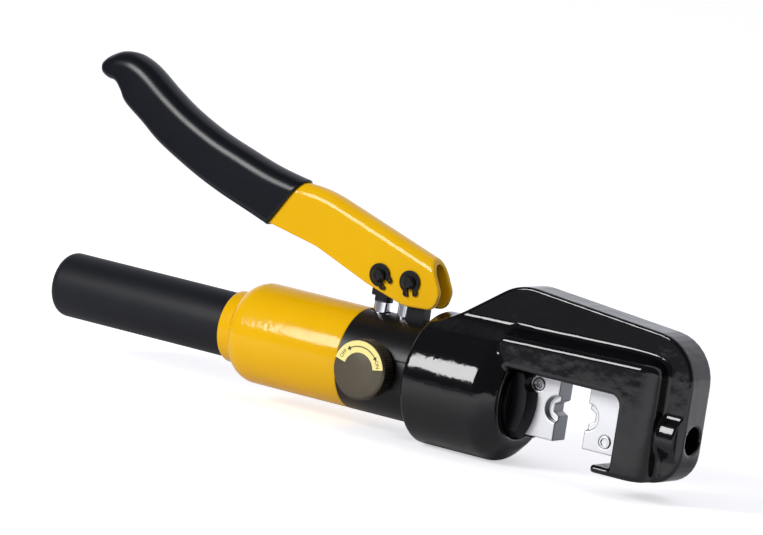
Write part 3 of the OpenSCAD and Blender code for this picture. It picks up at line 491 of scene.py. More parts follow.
# Lower edge (x, z), upper edge (x, z) and width, from the fulcrum pin
SLEEVE_STATIONS = np.array([
    [-76.0, 9.1, -61.5, 31.4, 15], [-87.0, 12.7, -77.6, 34.4, 15], [-103.3, 17.9, -93.2, 38.8, 15],
    [-118.7, 23.9, -108.3, 43.6, 15], [-137.0, 32.7, -123.1, 49.9, 15], [-148.0, 40.0, -135.0, 56.6, 15],
    [-157.9, 46.4, -146.7, 64.2, 15], [-161.6, 51.1, -154.2, 67.5, 14.7], [-165.1, 54.6, -160.0, 68.4, 14.4],
    [-169.6, 55.5, -165.9, 67.7, 13.8], [-173.1, 57.0, -170.8, 65.3, 12], [-174.4, 59.0, -173.7, 62.8, 8.2],
])
SLEEVE_LOW_EDGE = 3
SLEEVE_TOP_SHARE = 0.6
SLEEVE_RIM = 0.9
print("stations:", len(SLEEVE_STATIONS), "from the fulcrum at", fulcrum.round(2))


# %% Sections of the lever's sleeve
def smooth_rows(rows, steps):
    """Catmull-Rom curve through the rows: each stretch leaves along the line between its neighbours."""
    ends = np.concatenate([rows[:1], rows, rows[-1:]])
    a, b, c, d = (ends[i:len(rows) - 1 + i, None] for i in range(4))
    t = np.linspace(0, 1, steps, endpoint=False)[None, :, None]
    curve = b + ((c - a) * t + (2 * a - 5 * b + 4 * c - d) * t**2 + (3 * b - a - 3 * c + d) * t**3) / 2
    return np.concatenate([curve.reshape(-1, rows.shape[1]), rows[-1:]])


def sleeve_sections(stations, inset):
    """Section of each station: a half ellipse on top, flat sides, and two quarter circles below."""
    low, high, width = stations[:, 0:2], stations[:, 2:4], stations[:, 4] / 2 - inset
    height = np.linalg.norm(high - low, axis=1) - 2 * inset
    up = (high - low) / (height + 2 * inset)[:, None]
    base = low + up * inset[:, None]
    top = np.minimum(width, height * SLEEVE_TOP_SHARE)[:, None]
    edge = np.minimum(SLEEVE_LOW_EDGE, height * (1 - SLEEVE_TOP_SHARE))[:, None]
    edge = np.minimum(edge, width[:, None])
    dome, left = np.linspace(0, math.pi, 33), np.linspace(math.pi, 1.5 * math.pi, 9)
    right_side = left + math.pi / 2
    wide = width[:, None]
    across = np.concatenate([
        wide * np.cos(dome), edge * (1 + np.cos(left)) - wide, edge * (np.cos(right_side) - 1) + wide], 1)
    tall = np.concatenate([
        height[:, None] - top + top * np.sin(dome),
        edge * (1 + np.sin(left)), edge * (1 + np.sin(right_side))], 1)
    flat = base[:, None] + up[:, None] * tall[..., None]
    return np.stack([flat[..., 0], across, flat[..., 1]], -1) + fulcrum


# %% Sweep the lever's sleeve
RIM_INSETS = (5, 3)
TIP_INSETS = (0.35, 0.8, 1.2)
sleeve_rows = smooth_rows(SLEEVE_STATIONS, 10)
rim = np.linspace(0, math.pi / 2, 7)
# Rows at the rim: a flat end, then a quarter circle out to the full section
rim_inset = np.concatenate([RIM_INSETS, SLEEVE_RIM * (1 - np.sin(rim))])
rim_back = np.concatenate([[0, 0], SLEEVE_RIM * (1 - np.cos(rim))])
backward = unit((SLEEVE_STATIONS[1] - SLEEVE_STATIONS[0])[:4].reshape(2, 2).mean(0))
rim_rows = np.repeat(sleeve_rows[:1], len(rim_inset), 0)
rim_rows[:, :4] += np.tile(backward, 2) * rim_back[:, None]
rows = np.concatenate([rim_rows, sleeve_rows[2:], np.repeat(sleeve_rows[-1:], len(TIP_INSETS), 0)])
inset = np.concatenate([rim_inset, np.zeros(len(sleeve_rows) - 2), TIP_INSETS])
sections = sleeve_sections(rows, inset)
piece("lever_sleeve", capped(sections), "lever", "grip_rubber", ["lever_grip"], crease=60,
      finish=finishes["lever_vinyl"])

# %% [markdown]
# ## Shapes from distance
# The head is a casting: a cylinder, a plate and a flange run into each other with soft corners.
# Such a shape is easy to say as a distance. A field tells how far each point of space is from the
# surface, negative inside. Two fields join by their minimum, and a rounded minimum leaves a fillet,
# as a casting has. A grid of cells finds where the field is zero: each crossed cell gets one
# point, each crossed grid edge gets one face, and the points are then pulled onto the zero level.


# %% Distance fields
def outline_distance(u, v, points):
    """Distance to the nearest side of an outline, negative where a ray crosses an odd number of sides."""
    best, inside = np.inf, False
    for (au, av), (bu, bv) in zip(points, np.roll(points, -1, 0)):
        du, dv = bu - au, bv - av
        t = np.clip(((u - au) * du + (v - av) * dv) / (du * du + dv * dv), 0, 1)
        best = np.minimum(best, (u - au - t * du) ** 2 + (v - av - t * dv) ** 2)
        inside = inside ^ (((av > v) != (bv > v)) & (u < au + (v - av) * du / (dv or 1)))
    return np.where(inside, -1, 1) * np.sqrt(best)


def meet(a, b, edge):
    """What two fields share, with a rounded edge where they cross."""
    a, b = a + edge, b + edge
    return np.hypot(np.maximum(a, 0), np.maximum(b, 0)) + np.minimum(np.maximum(a, b), 0) - edge


def join(a, b, fillet):
    """Both fields together, with a fillet where they come near each other."""
    near = np.maximum(fillet - np.abs(a - b), 0) / fillet
    return np.minimum(a, b) - near**2 * fillet / 4


def without(a, b, edge):
    """The first field with the second cut out of it, with a broken edge."""
    return -join(-a, b, edge)


def rod(along, first, second, start, end, radius):
    """A round rod along one axis, between two ends."""
    return np.maximum(np.hypot(first, second) - radius, np.maximum(start - along, along - end))


# %% Mesh of a field's zero level
def level_mesh(field, low, high, cell, rounds=3):
    """Points and quads where the field is zero, evened out and pulled onto the level by its slope."""
    low = np.array(low, float)
    axes = [np.arange(a, b + cell, cell) for a, b in zip(low, high)]
    value = field(*np.meshgrid(*axes, indexing="ij", sparse=True))
    inside = np.broadcast_to(value, [len(a) for a in axes]) < 0
    halves = (slice(None, -1), slice(1, None))
    count = sum(inside[a, b, c].astype(np.int8) for a in halves for b in halves for c in halves)
    crossed = (count > 0) & (count < 8)
    number = np.full(crossed.shape, -1)
    number[crossed] = np.arange(crossed.sum())
    points = low + (np.argwhere(crossed) + 0.5) * cell
    quads = []
    for axis in range(3):
        state, index = np.moveaxis(inside, axis, 0), np.moveaxis(number, axis, 0)
        near, far = state[:-1, 1:-1, 1:-1], state[1:, 1:-1, 1:-1]
        for leaving in (True, False):
            i, j, k = np.nonzero(near & ~far if leaving else far & ~near)
            ring = [index[i, j, k], index[i, j + 1, k], index[i, j + 1, k + 1], index[i, j, k + 1]]
            quads.append(np.stack(ring if leaving != (axis == 1) else ring[::-1], 1))
    quads = np.concatenate(quads)
    for _ in range(rounds):
        points = on_level(field, points, cell)
        points = evened(points, quads)
    return on_level(field, on_level(field, points, cell), cell), quads


# %% Points on the level, and pieces from it
PROBE = 0.02
LEAST_SLOPE = 0.1


def on_level(field, points, cell):
    """One step down the field's slope, no longer than a cell."""
    value = field(*points.T)
    slope = np.stack([(field(*(points + PROBE * e).T) - value) / PROBE for e in np.eye(3)], 1)
    move = -slope * (value / np.maximum((slope**2).sum(1), LEAST_SLOPE))[:, None]
    return points + move * np.minimum(1, cell / np.maximum(np.linalg.norm(move, axis=1), 1e-9))[:, None]


def evened(points, quads):
    """Each point at the middle of its neighbours along the faces' sides."""
    total, count = np.zeros_like(points), np.zeros(len(points))
    for i in range(4):
        for j in ((i + 1) % 4, (i + 3) % 4):
            np.add.at(total, quads[:, i], points[quads[:, j]])
            np.add.at(count, quads[:, i], 1)
    return total / np.maximum(count, 1)[:, None]


def cast(name, field, low, high, cell, body, slot, stands_for, margin=2, crease=70):
    """A piece from a field's zero level, between two corners with a margin round them."""
    points, quads = level_mesh(field, np.subtract(low, margin), np.add(high, margin), cell)
    piece(name, points, body, slot, stands_for, crease, faces=quads)


# %% [markdown]
# ## Black enamel
# The casting is painted with a thick gloss enamel. It fills the casting's roughness only in part,
# so a highlight is one bar whose edges waver: broad unevenness about 14 mm across from the sand
# mould, and a peel about 5 mm across from the thick paint. Here and there the paint has a pimple.

# %% Finish: thick black enamel on a casting
tree, shader, place = new_finish("head_enamel", "thick_black_enamel", IOR=1.48)
sand = add(tree, "TexNoise", {"Vector": place, "Scale": every(14), "Detail": 2})
peel = add(tree, "TexNoise", {"Vector": place, "Scale": every(5), "Detail": 2, "Roughness": 0.4})
dust = add(tree, "TexNoise", {"Vector": place, "Scale": every(1.2), "Detail": 2})
spot = add(tree, "TexVoronoi", {"Vector": place, "Scale": every(16)})
pimple = add(tree, "MapRange", {"Value": spot.outputs["Distance"], "From Min": 0.09, "From Max": 0})
rough = add(tree, "MapRange", {"Value": dust, "To Min": 0.06, "To Max": 0.13})
bump = add(tree, "Bump", {"Height": sand, "Distance": 0.28 * MM})
bump = add(tree, "Bump", {"Height": peel, "Distance": 0.11 * MM, "Normal": bump})
bump = add(tree, "Bump", {"Height": pimple, "Distance": 0.12 * MM, "Normal": bump})
feed(shader, {"Base Color": "#0b0b0d", "Roughness": rough, "Normal": bump})

# %% [markdown]
# ## Head casting
# Seen from the side, the head is a C: the web plate runs from the cylinder over the throat and down
# the arm that backs the fixed die, and ends in a hook lip. A flange twice as wide follows the throat
# and slopes up to the web and a little to the front, as castings do, so that the mould lets go.
# Behind it a narrower shoulder leads down to the cylinder, which ends in a cone. A boss round the end
# bore lies in the corner between arm and web.

# %% Outlines of the head
head_low, head_high = limits("crimp_head")
REAR = head_low[0]
BARREL_FRONT = REAR + 44.5
CONE = 7
TAPER = BARREL_FRONT - CONE
ARM = BARREL_FRONT + 56.5
FLANGE_FRONT = ARM + 17
RIM_REAR = TAPER + 1.7
RAMP = REAR + 3.1
APEX = REAR + 38.4
APEX_H = 48.8
BARREL_R = head_high[1]
WEB_DROP = 20
WEB_HALF = 8
RAMP_H = 24.4
FLANGE_HALF = 19
FLANGE_SLANT = 3
RIM_H = 26.8
ROOT_H = 30.6
PITCH = math.radians(1.6)
FLANGE_TOP = ROOT_H + (FLANGE_FRONT - RIM_REAR) * math.tan(PITCH)
SHOULDER_HALF = 16.7
SHOULDER_H = math.sqrt(BARREL_R**2 - SHOULDER_HALF**2)
THROAT_H = 14
THROAT_R = 4.5
LIP_L = 9
LIP_T = 3.5
LIP_EDGE, LIP_ROOT_R = 1.4, 1.2
WEB_FRONT_H = 41
APEX_R, WEB_FRONT_R, WEB_FOOT_R = 24, 20, 14
FLANGE_TOP_R, FLANGE_FOOT_R = 12, 3.5
BARREL_REAR_R, TAPER_R, CONE_END_R = 2, 8, 3.5

throat = [
    (ARM - LIP_L, -WEB_DROP, LIP_EDGE), (ARM - LIP_L, LIP_T - WEB_DROP, LIP_EDGE),
    (ARM, LIP_T - WEB_DROP, LIP_ROOT_R), (ARM, THROAT_H, THROAT_R), (TAPER, THROAT_H, 0), (TAPER, 0, 0),
    (RAMP, 0, 0), (RAMP, RAMP_H, 0),
]
web_outline = outline(throat + [
    (APEX, APEX_H, APEX_R), (0, WEB_FRONT_H, WEB_FRONT_R), (0, -WEB_DROP, WEB_FOOT_R)])
flange_outline = outline(throat + [
    (APEX, APEX_H, 0), (FLANGE_FRONT, FLANGE_TOP, FLANGE_TOP_R), (FLANGE_FRONT, -WEB_DROP, FLANGE_FOOT_R)])
barrel_profile = outline([
    (REAR, 0, 0), (REAR, BARREL_R, BARREL_REAR_R), (TAPER, BARREL_R, TAPER_R),
    (BARREL_FRONT, BARREL_R - CONE, CONE_END_R), (BARREL_FRONT, 0, 0),
])
print("outline points:", len(web_outline), len(flange_outline), len(barrel_profile))

# %% Edges, fillets and bores of the head
WEB_EDGE = 1.1
FLANGE_EDGE = 2
ROOF_EDGE = 5
END_EDGE = 6.5
REAR_EDGE = 1.5
FILLET = 2.2
SHOULDER_FILLET = 1.5
SHOULDER_L = 8
BOSS_FILLET = 1.4
BARREL_FILLET = 2
BORE_EDGE = 0.5
BODY_R = limits("pump_body")[1][1]
FLOOR_X = limits("pump_body")[1][0]
RAM_R = limits("ram")[1][1]
RUNNING = 0.05
STROKE = 14.3
NOSE = limits("ram")[1][0]
END_BORE_R = 5.9
END_BORE_L = 18
BOSS_R = 11.6
BOSS_EDGE = 4
BOSS_INSET = 3
LOCK_R = 2.53
LOCK_X = REAR + 5
# Cutters run past the surface by this much
OVERRUN = 5
print("ram's nose at full stroke, x:", round(NOSE + STROKE, 2))


# %% Field of the head
def slanted(u, v, start, end):
    """Distance above the line from start to end, in the plane of u and v."""
    along = unit(np.subtract(end, start))
    return (v - start[1]) * along[0] - (u - start[0]) * along[1]


def head_field(x, y, z):
    """Web, flange, shoulder, boss and cylinder joined with fillets, less the bores."""
    side = np.abs(y)
    flat_web = outline_distance(x, z, web_outline)
    flat_flange = outline_distance(x, z, flange_outline)
    web = meet(flat_web, side - WEB_HALF, WEB_EDGE)
    height = z * math.cos(PITCH) - (x - RIM_REAR) * math.sin(PITCH)
    roof = slanted(-side, height, (-FLANGE_HALF, RIM_H), (-WEB_HALF, ROOT_H))
    end = slanted(-side, x, (-FLANGE_HALF, FLANGE_FRONT - FLANGE_SLANT), (-WEB_HALF, FLANGE_FRONT))
    walls = meet(meet(side - FLANGE_HALF, end, END_EDGE), RIM_REAR - x, REAR_EDGE)
    flange = meet(meet(flat_flange, roof, ROOF_EDGE), walls, FLANGE_EDGE)
    slope = slanted(-side, height, (-SHOULDER_HALF, SHOULDER_H), (-WEB_HALF, ROOT_H))
    shoulder = np.maximum(flat_flange, x - RIM_REAR - SHOULDER_L)
    shoulder = np.maximum(shoulder, np.maximum(slope, side - SHOULDER_HALF))
    boss = rod(x, y, z, FLANGE_FRONT - BOSS_R, -BOSS_INSET - BOSS_EDGE, BOSS_R - BOSS_EDGE) - BOSS_EDGE
    body = join(join(join(web, flange, FILLET), shoulder, SHOULDER_FILLET), boss, BOSS_FILLET)
    barrel = outline_distance(x, np.hypot(y, z), barrel_profile)
    whole = join(np.maximum(body, flat_web), barrel, BARREL_FILLET)
    for bore in (
        rod(x, y, z, REAR - OVERRUN, FLOOR_X, BODY_R + RUNNING),
        rod(x, y, z, FLOOR_X - OVERRUN, NOSE + STROKE + 1, RAM_R + RUNNING),
        rod(x, y, z, -END_BORE_L, OVERRUN, END_BORE_R),
        rod(z, x - LOCK_X, y, -BARREL_R - OVERRUN, 1 - BODY_R, LOCK_R),
    ):
        whole = without(whole, bore, BORE_EDGE)
    return whole


HEAD_CELL = 0.75
cast("head_casting", head_field, head_low, head_high, HEAD_CELL, "frame", "head_enamel", ["crimp_head"])

# %% [markdown]
# ## Lever
# The lever is one steel sheet folded to an upside-down U, so it is a sheet of constant thickness
# about a middle surface: two flat cheeks and a round top. Seen from the side it has its own
# outline. The field is the sheet met with that outline, with the sheet's edges a little rounded.

# %% Field of the lever's channel
# Corners (x, z, radius) from the fulcrum pin: front, top, bend, behind the sleeve's rim, belly
CHANNEL_CORNERS = [
    (13.2, -9.8, 5), (15, -2, 6), (8, 11.9, 3), (-52, 30.7, 70), (-70.3, 30.5, 0), (-80, 11.2, 0),
    (-50, 5.2, 30), (-22, -5.2, 25), (-2, -10.8, 14),
]
SHEET_T = 2.4
SHEET_EDGE = 0.8
BEND_BLEND = 3.3
CHANNEL_HALF = limits("lever_channel")[1][1]
PIN_R = 3
PIN_BORE_EDGE = 0.3
channel_outline = outline(CHANNEL_CORNERS) + fulcrum[[0, 2]]
TOP_FRONT, BEND, TOP_REAR = (np.array(CHANNEL_CORNERS[i][:2]) + fulcrum[[0, 2]] for i in (2, 3, 4))
plunger_x = np.mean([limits("plunger_pin")[0][0], limits("plunger_pin")[1][0]])


def channel_field(x, y, z):
    """Sheet about a U: flat below the fold's centre, a half circle above it, and bent once along the top."""
    front, rear = slanted(x, z, BEND, TOP_FRONT), slanted(x, z, TOP_REAR, BEND)
    depth = -join(-front, -rear, BEND_BLEND) + CHANNEL_HALF
    fold = np.hypot(y, np.maximum(depth, 0)) - (CHANNEL_HALF - SHEET_T / 2)
    sheet = np.abs(fold) - SHEET_T / 2
    plate = meet(outline_distance(x, z, channel_outline), sheet, SHEET_EDGE)
    for pin_x in (fulcrum[0], plunger_x):
        plate = without(plate, np.hypot(x - pin_x, z - fulcrum[2]) - PIN_R, PIN_BORE_EDGE)
    return plate


CHANNEL_CELL = 0.5
low, high = channel_outline.min(0), channel_outline.max(0)
cast("lever_sheet", channel_field, [low[0], -CHANNEL_HALF, low[1]], [high[0], CHANNEL_HALF, high[1]],
     CHANNEL_CELL, "lever", "yellow_paint", ["lever_channel"])

# %% [markdown]
# ## Metal finishes
# What is left is metal: blackened and bright steel, brass and dark anodised aluminium. A metal's colour is its
# reflection, so the shader is fully metallic and the pattern is in its roughness and in fine lines that the tool
# left: rings from a lathe, straight lines from a grinding wheel. On the dies a painted shade darkens the faces
# across the tool.

# %% Finish: plain metals with a worked surface
SMOOTHER, ROUGHER = 0.07, 0.09


def worked_metal(slot, name, dark, bright, roughness, line, depth, stretch=(1, 1, 1), painted_shade=None):
    """Metal with tool marks, a noise drawn long in one direction. Faces across the tool may get a painted shade, a
    colour that follows their facing.
    """
    tree, shader, place = new_finish(slot, name, Metallic=1.0)
    drawn = add(tree, "Mapping", {"Vector": place, "Scale": stretch})
    mark = add(tree, "TexNoise", {"Vector": drawn, "Scale": every(line), "Detail": 3})
    cloud = add(tree, "TexNoise", {"Vector": place, "Scale": every(9), "Detail": 3})
    tint = add(tree, "Mix", {"Factor": cloud, "A": dark, "B": bright}, data_type="RGBA")
    # Painted shade: faces that look along the tool, such as the pressing faces, get the darker colour
    if painted_shade:
        facing = add(tree, "TexCoord").outputs["Normal"]
        across = add(tree, "SeparateXYZ", {"Vector": facing}).outputs["X"]
        across = add(tree, "Math", {0: across}, operation="ABSOLUTE")
        across = add(tree, "MapRange", {"Value": across, "From Min": 0.25, "From Max": 0.7})
        tint = add(tree, "Mix", {"Factor": across, "A": tint, "B": painted_shade}, data_type="RGBA")
    rough = add(tree, "MapRange", {
        "Value": mark, "To Min": roughness - SMOOTHER, "To Max": roughness + ROUGHER})
    bump = add(tree, "Bump", {"Height": mark, "Distance": depth * MM})
    feed(shader, {"Base Color": tint, "Roughness": rough, "Normal": bump})


# Slot, name, two colours, roughness, size and depth of the marks in millimetres; the dies add the stretch of the
# marks and a painted shade for faces across the tool
for row in (
    ("die_steel", "ground_die_steel", "#e8e9ec", "#f4f4f6", 0.5, 0.5, 0.006, (1, 1, 0.05), "#85878c"),
    ("ram_steel", "blackened_ram_steel", "#29292c", "#38383b", 0.35, 0.5, 0.006),
    ("machined_steel", "turned_steel", "#8e8f93", "#a5a6aa", 0.32, 0.6, 0.01),
    ("button_steel", "turned_button_steel", "#8b8c90", "#c6c7cb", 0.28, 0.4, 0.02),
    ("spring_steel", "drawn_spring_wire", "#6c6d71", "#84858a", 0.3, 0.5, 0.01),
    ("bearing_steel", "polished_ball_steel", "#c4c5c9", "#d0d1d5", 0.12, 0.5, 0.001),
    ("brass", "turned_brass", "#b08d3c", "#c9a550", 0.3, 0.5, 0.01),
    ("knob_alloy", "dark_anodised_alloy", "#5d574c", "#6a6458", 0.42, 0.7, 0.012),
):
    worked_metal(*row)

# %% [markdown]
# ## Black steel and black nitrile
# Black oxide is a thin chemical layer: it shines a little like metal, but darkly. Pump body, pins
# and rings have it. The seals are black nitrile rubber, dull and even.

# %% Finish: black oxide, satin pump black and nitrile
for slot, name, colour, metal, low_gloss, high_gloss, size, depth in (
    ("black_oxide", "black_oxide_steel", "#1b1b1e", 0.5, 0.3, 0.45, 1.2, 0.012),
    ("pump_black", "satin_blackened_steel", "#121215", 0.35, 0.3, 0.42, 2.2, 0.02),
    ("seal_rubber", "black_nitrile", "#17171a", 0.0, 0.5, 0.65, 1.5, 0.01),
):
    tree, shader, place = new_finish(slot, name, Metallic=metal)
    grain = add(tree, "TexNoise", {"Vector": place, "Scale": every(size), "Detail": 3})
    rough = add(tree, "MapRange", {"Value": grain, "To Min": low_gloss, "To Max": high_gloss})
    bump = add(tree, "Bump", {"Height": grain, "Distance": depth * MM})
    feed(shader, {"Base Color": colour, "Roughness": rough, "Normal": bump})

# %% [markdown]
# ## Bright rod, black head
# The plunger is a chromed rod with a blackened flat head, and the fulcrum is a bright stem with a
# blackened lug. One finish serves both: it turns from chrome to black where the piece changes, by
# the height or the place along the tool.

# %% Finish: chrome that turns to black oxide
BLACK_ROUGHER = 0.3
PLUNGER_TOP = 26
LUG_REAR = 1.5


def part_chrome(slot, name, axis, border):
    """Chrome below the border along one axis of the piece, black oxide above it."""
    tree, shader, place = new_finish(slot, name)
    split = add(tree, "SeparateXYZ", {"Vector": place})
    black = add(tree, "Math", {0: split.outputs[axis], 1: border * MM}, operation="GREATER_THAN")
    scratch = add(tree, "TexNoise", {"Vector": place, "Scale": every(0.8), "Detail": 3})
    tint = add(tree, "Mix", {"Factor": black, "A": "#dfe0e4", "B": "#18181b"}, data_type="RGBA")
    bright = add(tree, "MapRange", {"Value": scratch, "To Min": 0.05, "To Max": 0.14})
    gloss = add(tree, "Math", {0: black, 1: BLACK_ROUGHER, 2: bright}, operation="MULTIPLY_ADD")
    metal = add(tree, "MapRange", {"Value": black, "To Min": 1, "To Max": 0.5})
    feed(shader, {"Base Color": tint, "Roughness": gloss, "Metallic": metal})


part_chrome("plunger_chrome", "chromed_rod_black_head", "Z", PLUNGER_TOP)
part_chrome("fulcrum_steel", "bright_stem_black_lug", "X", fulcrum[0] - LUG_REAR)

# %% [markdown]
# ## Machined pieces
# Ram, posts, retaining rings and the pump body are already right in the CAD model, but its
# edges are perfectly sharp. A real edge is broken, and its thin highlight is what makes metal look
# real. A copy of the CAD mesh is merged, its flat faces are joined, and every sharp edge gets a
# small bevel.

# %% Copies of CAD pieces with broken edges
FLAT_ANGLE, CREASE_ANGLE, SHARP_ANGLE = (math.radians(angle) for angle in (1, 32, 35))


def broken_edges(node, width, slot, body):
    """A copy of a CAD node whose sharp edges are bevelled by this width."""
    work = bmesh.new()
    work.from_mesh(frame["nodes"][node].data)
    bmesh.ops.remove_doubles(work, verts=work.verts, dist=1e-6)
    bmesh.ops.dissolve_limit(work, angle_limit=FLAT_ANGLE, verts=work.verts, edges=work.edges)
    sharp = [e for e in work.edges if e.is_manifold and e.calc_face_angle() > SHARP_ANGLE]
    bmesh.ops.bevel(work, geom=sharp, offset=width * MM, offset_type="OFFSET", segments=2, profile=0.5,
                    affect="EDGES", clamp_overlap=True)
    mesh = bpy.data.meshes.new(node + "_edged")
    work.to_mesh(mesh)
    work.free()
    mesh.shade_smooth()
    mesh.set_sharp_from_angle(angle=CREASE_ANGLE)
    made = placed(node + "_edged", mesh, body, slot, [node])
    # Each big face keeps its own direction, so that only the bevels look round
    made.modifiers.new("flat_faces", "WEIGHTED_NORMAL").keep_sharp = True


for row in (
    ("pump_body", 0.4, "pump_black", "frame"),
    ("ram", 0.4, "ram_steel", "ram"),
    ("fulcrum_lug", 0.5, "fulcrum_steel", "frame"),
    ("pin_circlips", 0.15, "black_oxide", "lever"),
    ("plunger_gland", 0.2, "machined_steel", "frame"),
    ("relief_screw", 0.2, "black_oxide", "frame"),
    ("head_lock_screw", 0.2, "black_oxide", "frame"),
):
    broken_edges(*row)

# %% [markdown]
# ## Dies
# A die is a ground block. Half a hexagon, the nest, runs through its pressing face, and on the side
# that shows it lies in a shallow round mouth. The two dies are one form: the fixed one is turned
# round by half a turn. The form is a field in the die's own frame, with u from the pressing face.

# %% Dies as fields
FINE_CELL = 0.35
DIE_EDGE = 0.5
DIE_FOOT_R, DIE_TOP_R = 4.9, 1.2
NEST_R = 3.3
MOUTH_R, MOUTH_FLOOR_R, MOUTH_L = 5.9, 5.2, 2.5
STUB_R, STUB_L = 5, 5
BUTTON_BORE = 6.6
moving_low, moving_high = limits("moving_die")
die_l, die_t, die_h = moving_high - moving_low
stud_low, stud_high = limits("moving_die_button")
stud = (stud_low + stud_high) / 2 - (moving_high[0], 0, 0)
stud_r = (stud_high[0] - stud_low[0]) / 2 + RUNNING
die_outline = outline([
    (0, die_h / 2, 0), (0, -die_h / 2, 0), (-die_l, -die_h / 2, DIE_FOOT_R), (-die_l, die_h / 2, DIE_TOP_R)])


def die_field(face, turn):
    """Block less hexagon, mouth and stud bore. turn is 1, or -1 for the die that is turned round."""
    def field(x, y, z):
        u, v, deep = (x - face) * turn, z * turn, y + die_t / 2
        block = meet(outline_distance(u, v, die_outline), np.abs(y) - die_t / 2, DIE_EDGE)
        tilt = np.abs(v) * math.cos(math.pi / 6)
        nest = np.maximum(np.abs(u), np.abs(u) / 2 + tilt) - NEST_R * math.cos(math.pi / 6)
        cone = np.hypot(u, v) - MOUTH_R + deep * (MOUTH_R - MOUTH_FLOOR_R) / MOUTH_L
        block = without(block, np.minimum(nest, np.maximum(cone, deep - MOUTH_L)), DIE_EDGE)
        block = without(block, rod(deep, u - stud[0], v - stud[2], -OVERRUN, BUTTON_BORE, stud_r), DIE_EDGE)
        if turn > 0:
            return block
        return np.minimum(block, rod(x, y, z, ARM - 1, ARM + STUB_L, STUB_R))
    return field


fixed_low, fixed_high = limits("fixed_die")
for name, body, face, turn, low, high in (
    ("moving_die", "ram", moving_high[0], 1, moving_low, moving_high),
    ("fixed_die", "frame", fixed_low[0], -1, fixed_low, fixed_high),
):
    cast(name + "_ground", die_field(face, turn), low, high, FINE_CELL, body, "die_steel", [name],
         margin=1, crease=50)

# %% [markdown]
# ## Plunger
# The plunger is a ground and chromed rod, and chrome shows every facet, so the rod is turned on a
# grid of its own. The blackened head on top is a flat block with a round top, on a neck that is the
# rod with two flats. The head is a field, and the two closed shells meet face to face.

# %% Plunger rod and head
plunger_low, plunger_high = limits("pump_plunger")
PLUNGER_R = (plunger_high[1] - plunger_low[1]) / 2
HEAD_HALF = 3
HEAD_DROP = 9.6
HEAD_EDGE = 0.5
SLOT_L = 2.2
SLOT_R = PIN_R + 0.4
SLOT_EDGE = 0.2
ROD_CHAMFER = 0.6


def plunger_head(x, y, z):
    """A neck with two flats under a flat block, less the slot for the lever's pin."""
    neck = np.maximum(np.hypot(x - plunger_x, y) - PLUNGER_R, z - fulcrum[2])
    ends = meet(plunger_low[0] - x, fulcrum[2] - HEAD_DROP - z, HEAD_EDGE)
    block = np.maximum(ends, meet(x - plunger_high[0], z - plunger_high[2], HEAD_EDGE))
    whole = np.maximum(meet(np.minimum(neck, block), np.abs(y) - HEAD_HALF, HEAD_EDGE), PLUNGER_TOP - z)
    along = x - np.clip(x, plunger_x, plunger_x + SLOT_L)
    return without(whole, np.hypot(along, z - fulcrum[2]) - SLOT_R, SLOT_EDGE)


rod_profile = np.array([
    (plunger_low[2], 0), (plunger_low[2], PLUNGER_R - ROD_CHAMFER), (plunger_low[2] + ROD_CHAMFER, PLUNGER_R),
    (PLUNGER_TOP, PLUNGER_R), (PLUNGER_TOP, 0)])
rod_points = lathe(rod_profile, "Z", (plunger_x, 0, 0), 96)
rod_faces = grid_faces(*rod_points.shape[:2])
rod_points = rod_points.reshape(-1, 3)
points, quads = level_mesh(plunger_head, [plunger_low[0] - 1, -HEAD_HALF - 1, PLUNGER_TOP - 1],
                           plunger_high + 1, FINE_CELL)
piece("plunger_turned", np.concatenate([rod_points, points]), "plunger", "plunger_chrome", ["pump_plunger"],
      faces=np.concatenate([rod_faces, quads + len(rod_points)]))

# %% [markdown]
# ## Pins and die buttons
# The lever's two pins are turned: a chamfer at each end, a groove for each ring, and a dimple from
# the lathe's centre. The die buttons are small turned studs with a cup in the face, pressed out by
# a spring so that they hold the die.

# %% Pins
PIN_CHAMFER = 0.7
DIMPLE_R = 0.9
GROOVE = 0.3
RING_T = 1.06
for node in ("plunger_pin", "fulcrum_pin"):
    low, high = limits(node)
    centre = (low + high) / 2
    half = (high[1] - low[1]) / 2
    ring_in, ring_out = CHANNEL_HALF, CHANNEL_HALF + RING_T
    end = [(half - DIMPLE_R, 0), (half, DIMPLE_R), (half, PIN_R - PIN_CHAMFER), (half - PIN_CHAMFER, PIN_R),
           (ring_out, PIN_R), (ring_out, PIN_R - GROOVE), (ring_in, PIN_R - GROOVE), (ring_in, PIN_R)]
    profile = np.array(end + [(-a, r) for a, r in end[::-1]])
    turned(node + "_turned", profile, "lever", "black_oxide", [node],
           axis="Y", centre=centre, sides=64)

# %% Die buttons
BUTTON_EDGE = 0.5
BUTTON_CUP_R = 1.5
BUTTON_CUP = 0.5
for node, body, finish in (
    ("moving_die_button", "moving_button", "button_steel"),
    ("fixed_die_button", "fixed_button", "die_steel"),
):
    low, high = limits(node)
    radius = (high[0] - low[0]) / 2
    centre = np.array([(low[0] + high[0]) / 2, 0, (low[2] + high[2]) / 2])
    profile = outline([
        (low[1] + BUTTON_CUP, 0, 0), (low[1] + BUTTON_CUP, BUTTON_CUP_R, 0.2),
        (low[1], BUTTON_CUP_R + 0.3, 0.1), (low[1], radius, BUTTON_EDGE), (high[1], radius, 0.2),
        (high[1], 0, 0)])
    turned(node + "_turned", profile, body, "button_steel", [node], finish=finishes[finish],
           axis="Y", centre=centre, sides=48)

# %% [markdown]
# ## Release knob
# The knob is turned from aluminium and anodised dark. Its rim has a straight knurl: fine ridges
# along the axis, pressed in by a wheel. On the grid, the radius of the rim's rows goes up and down
# round the knob, and the rows of the face and the chamfer stay round.

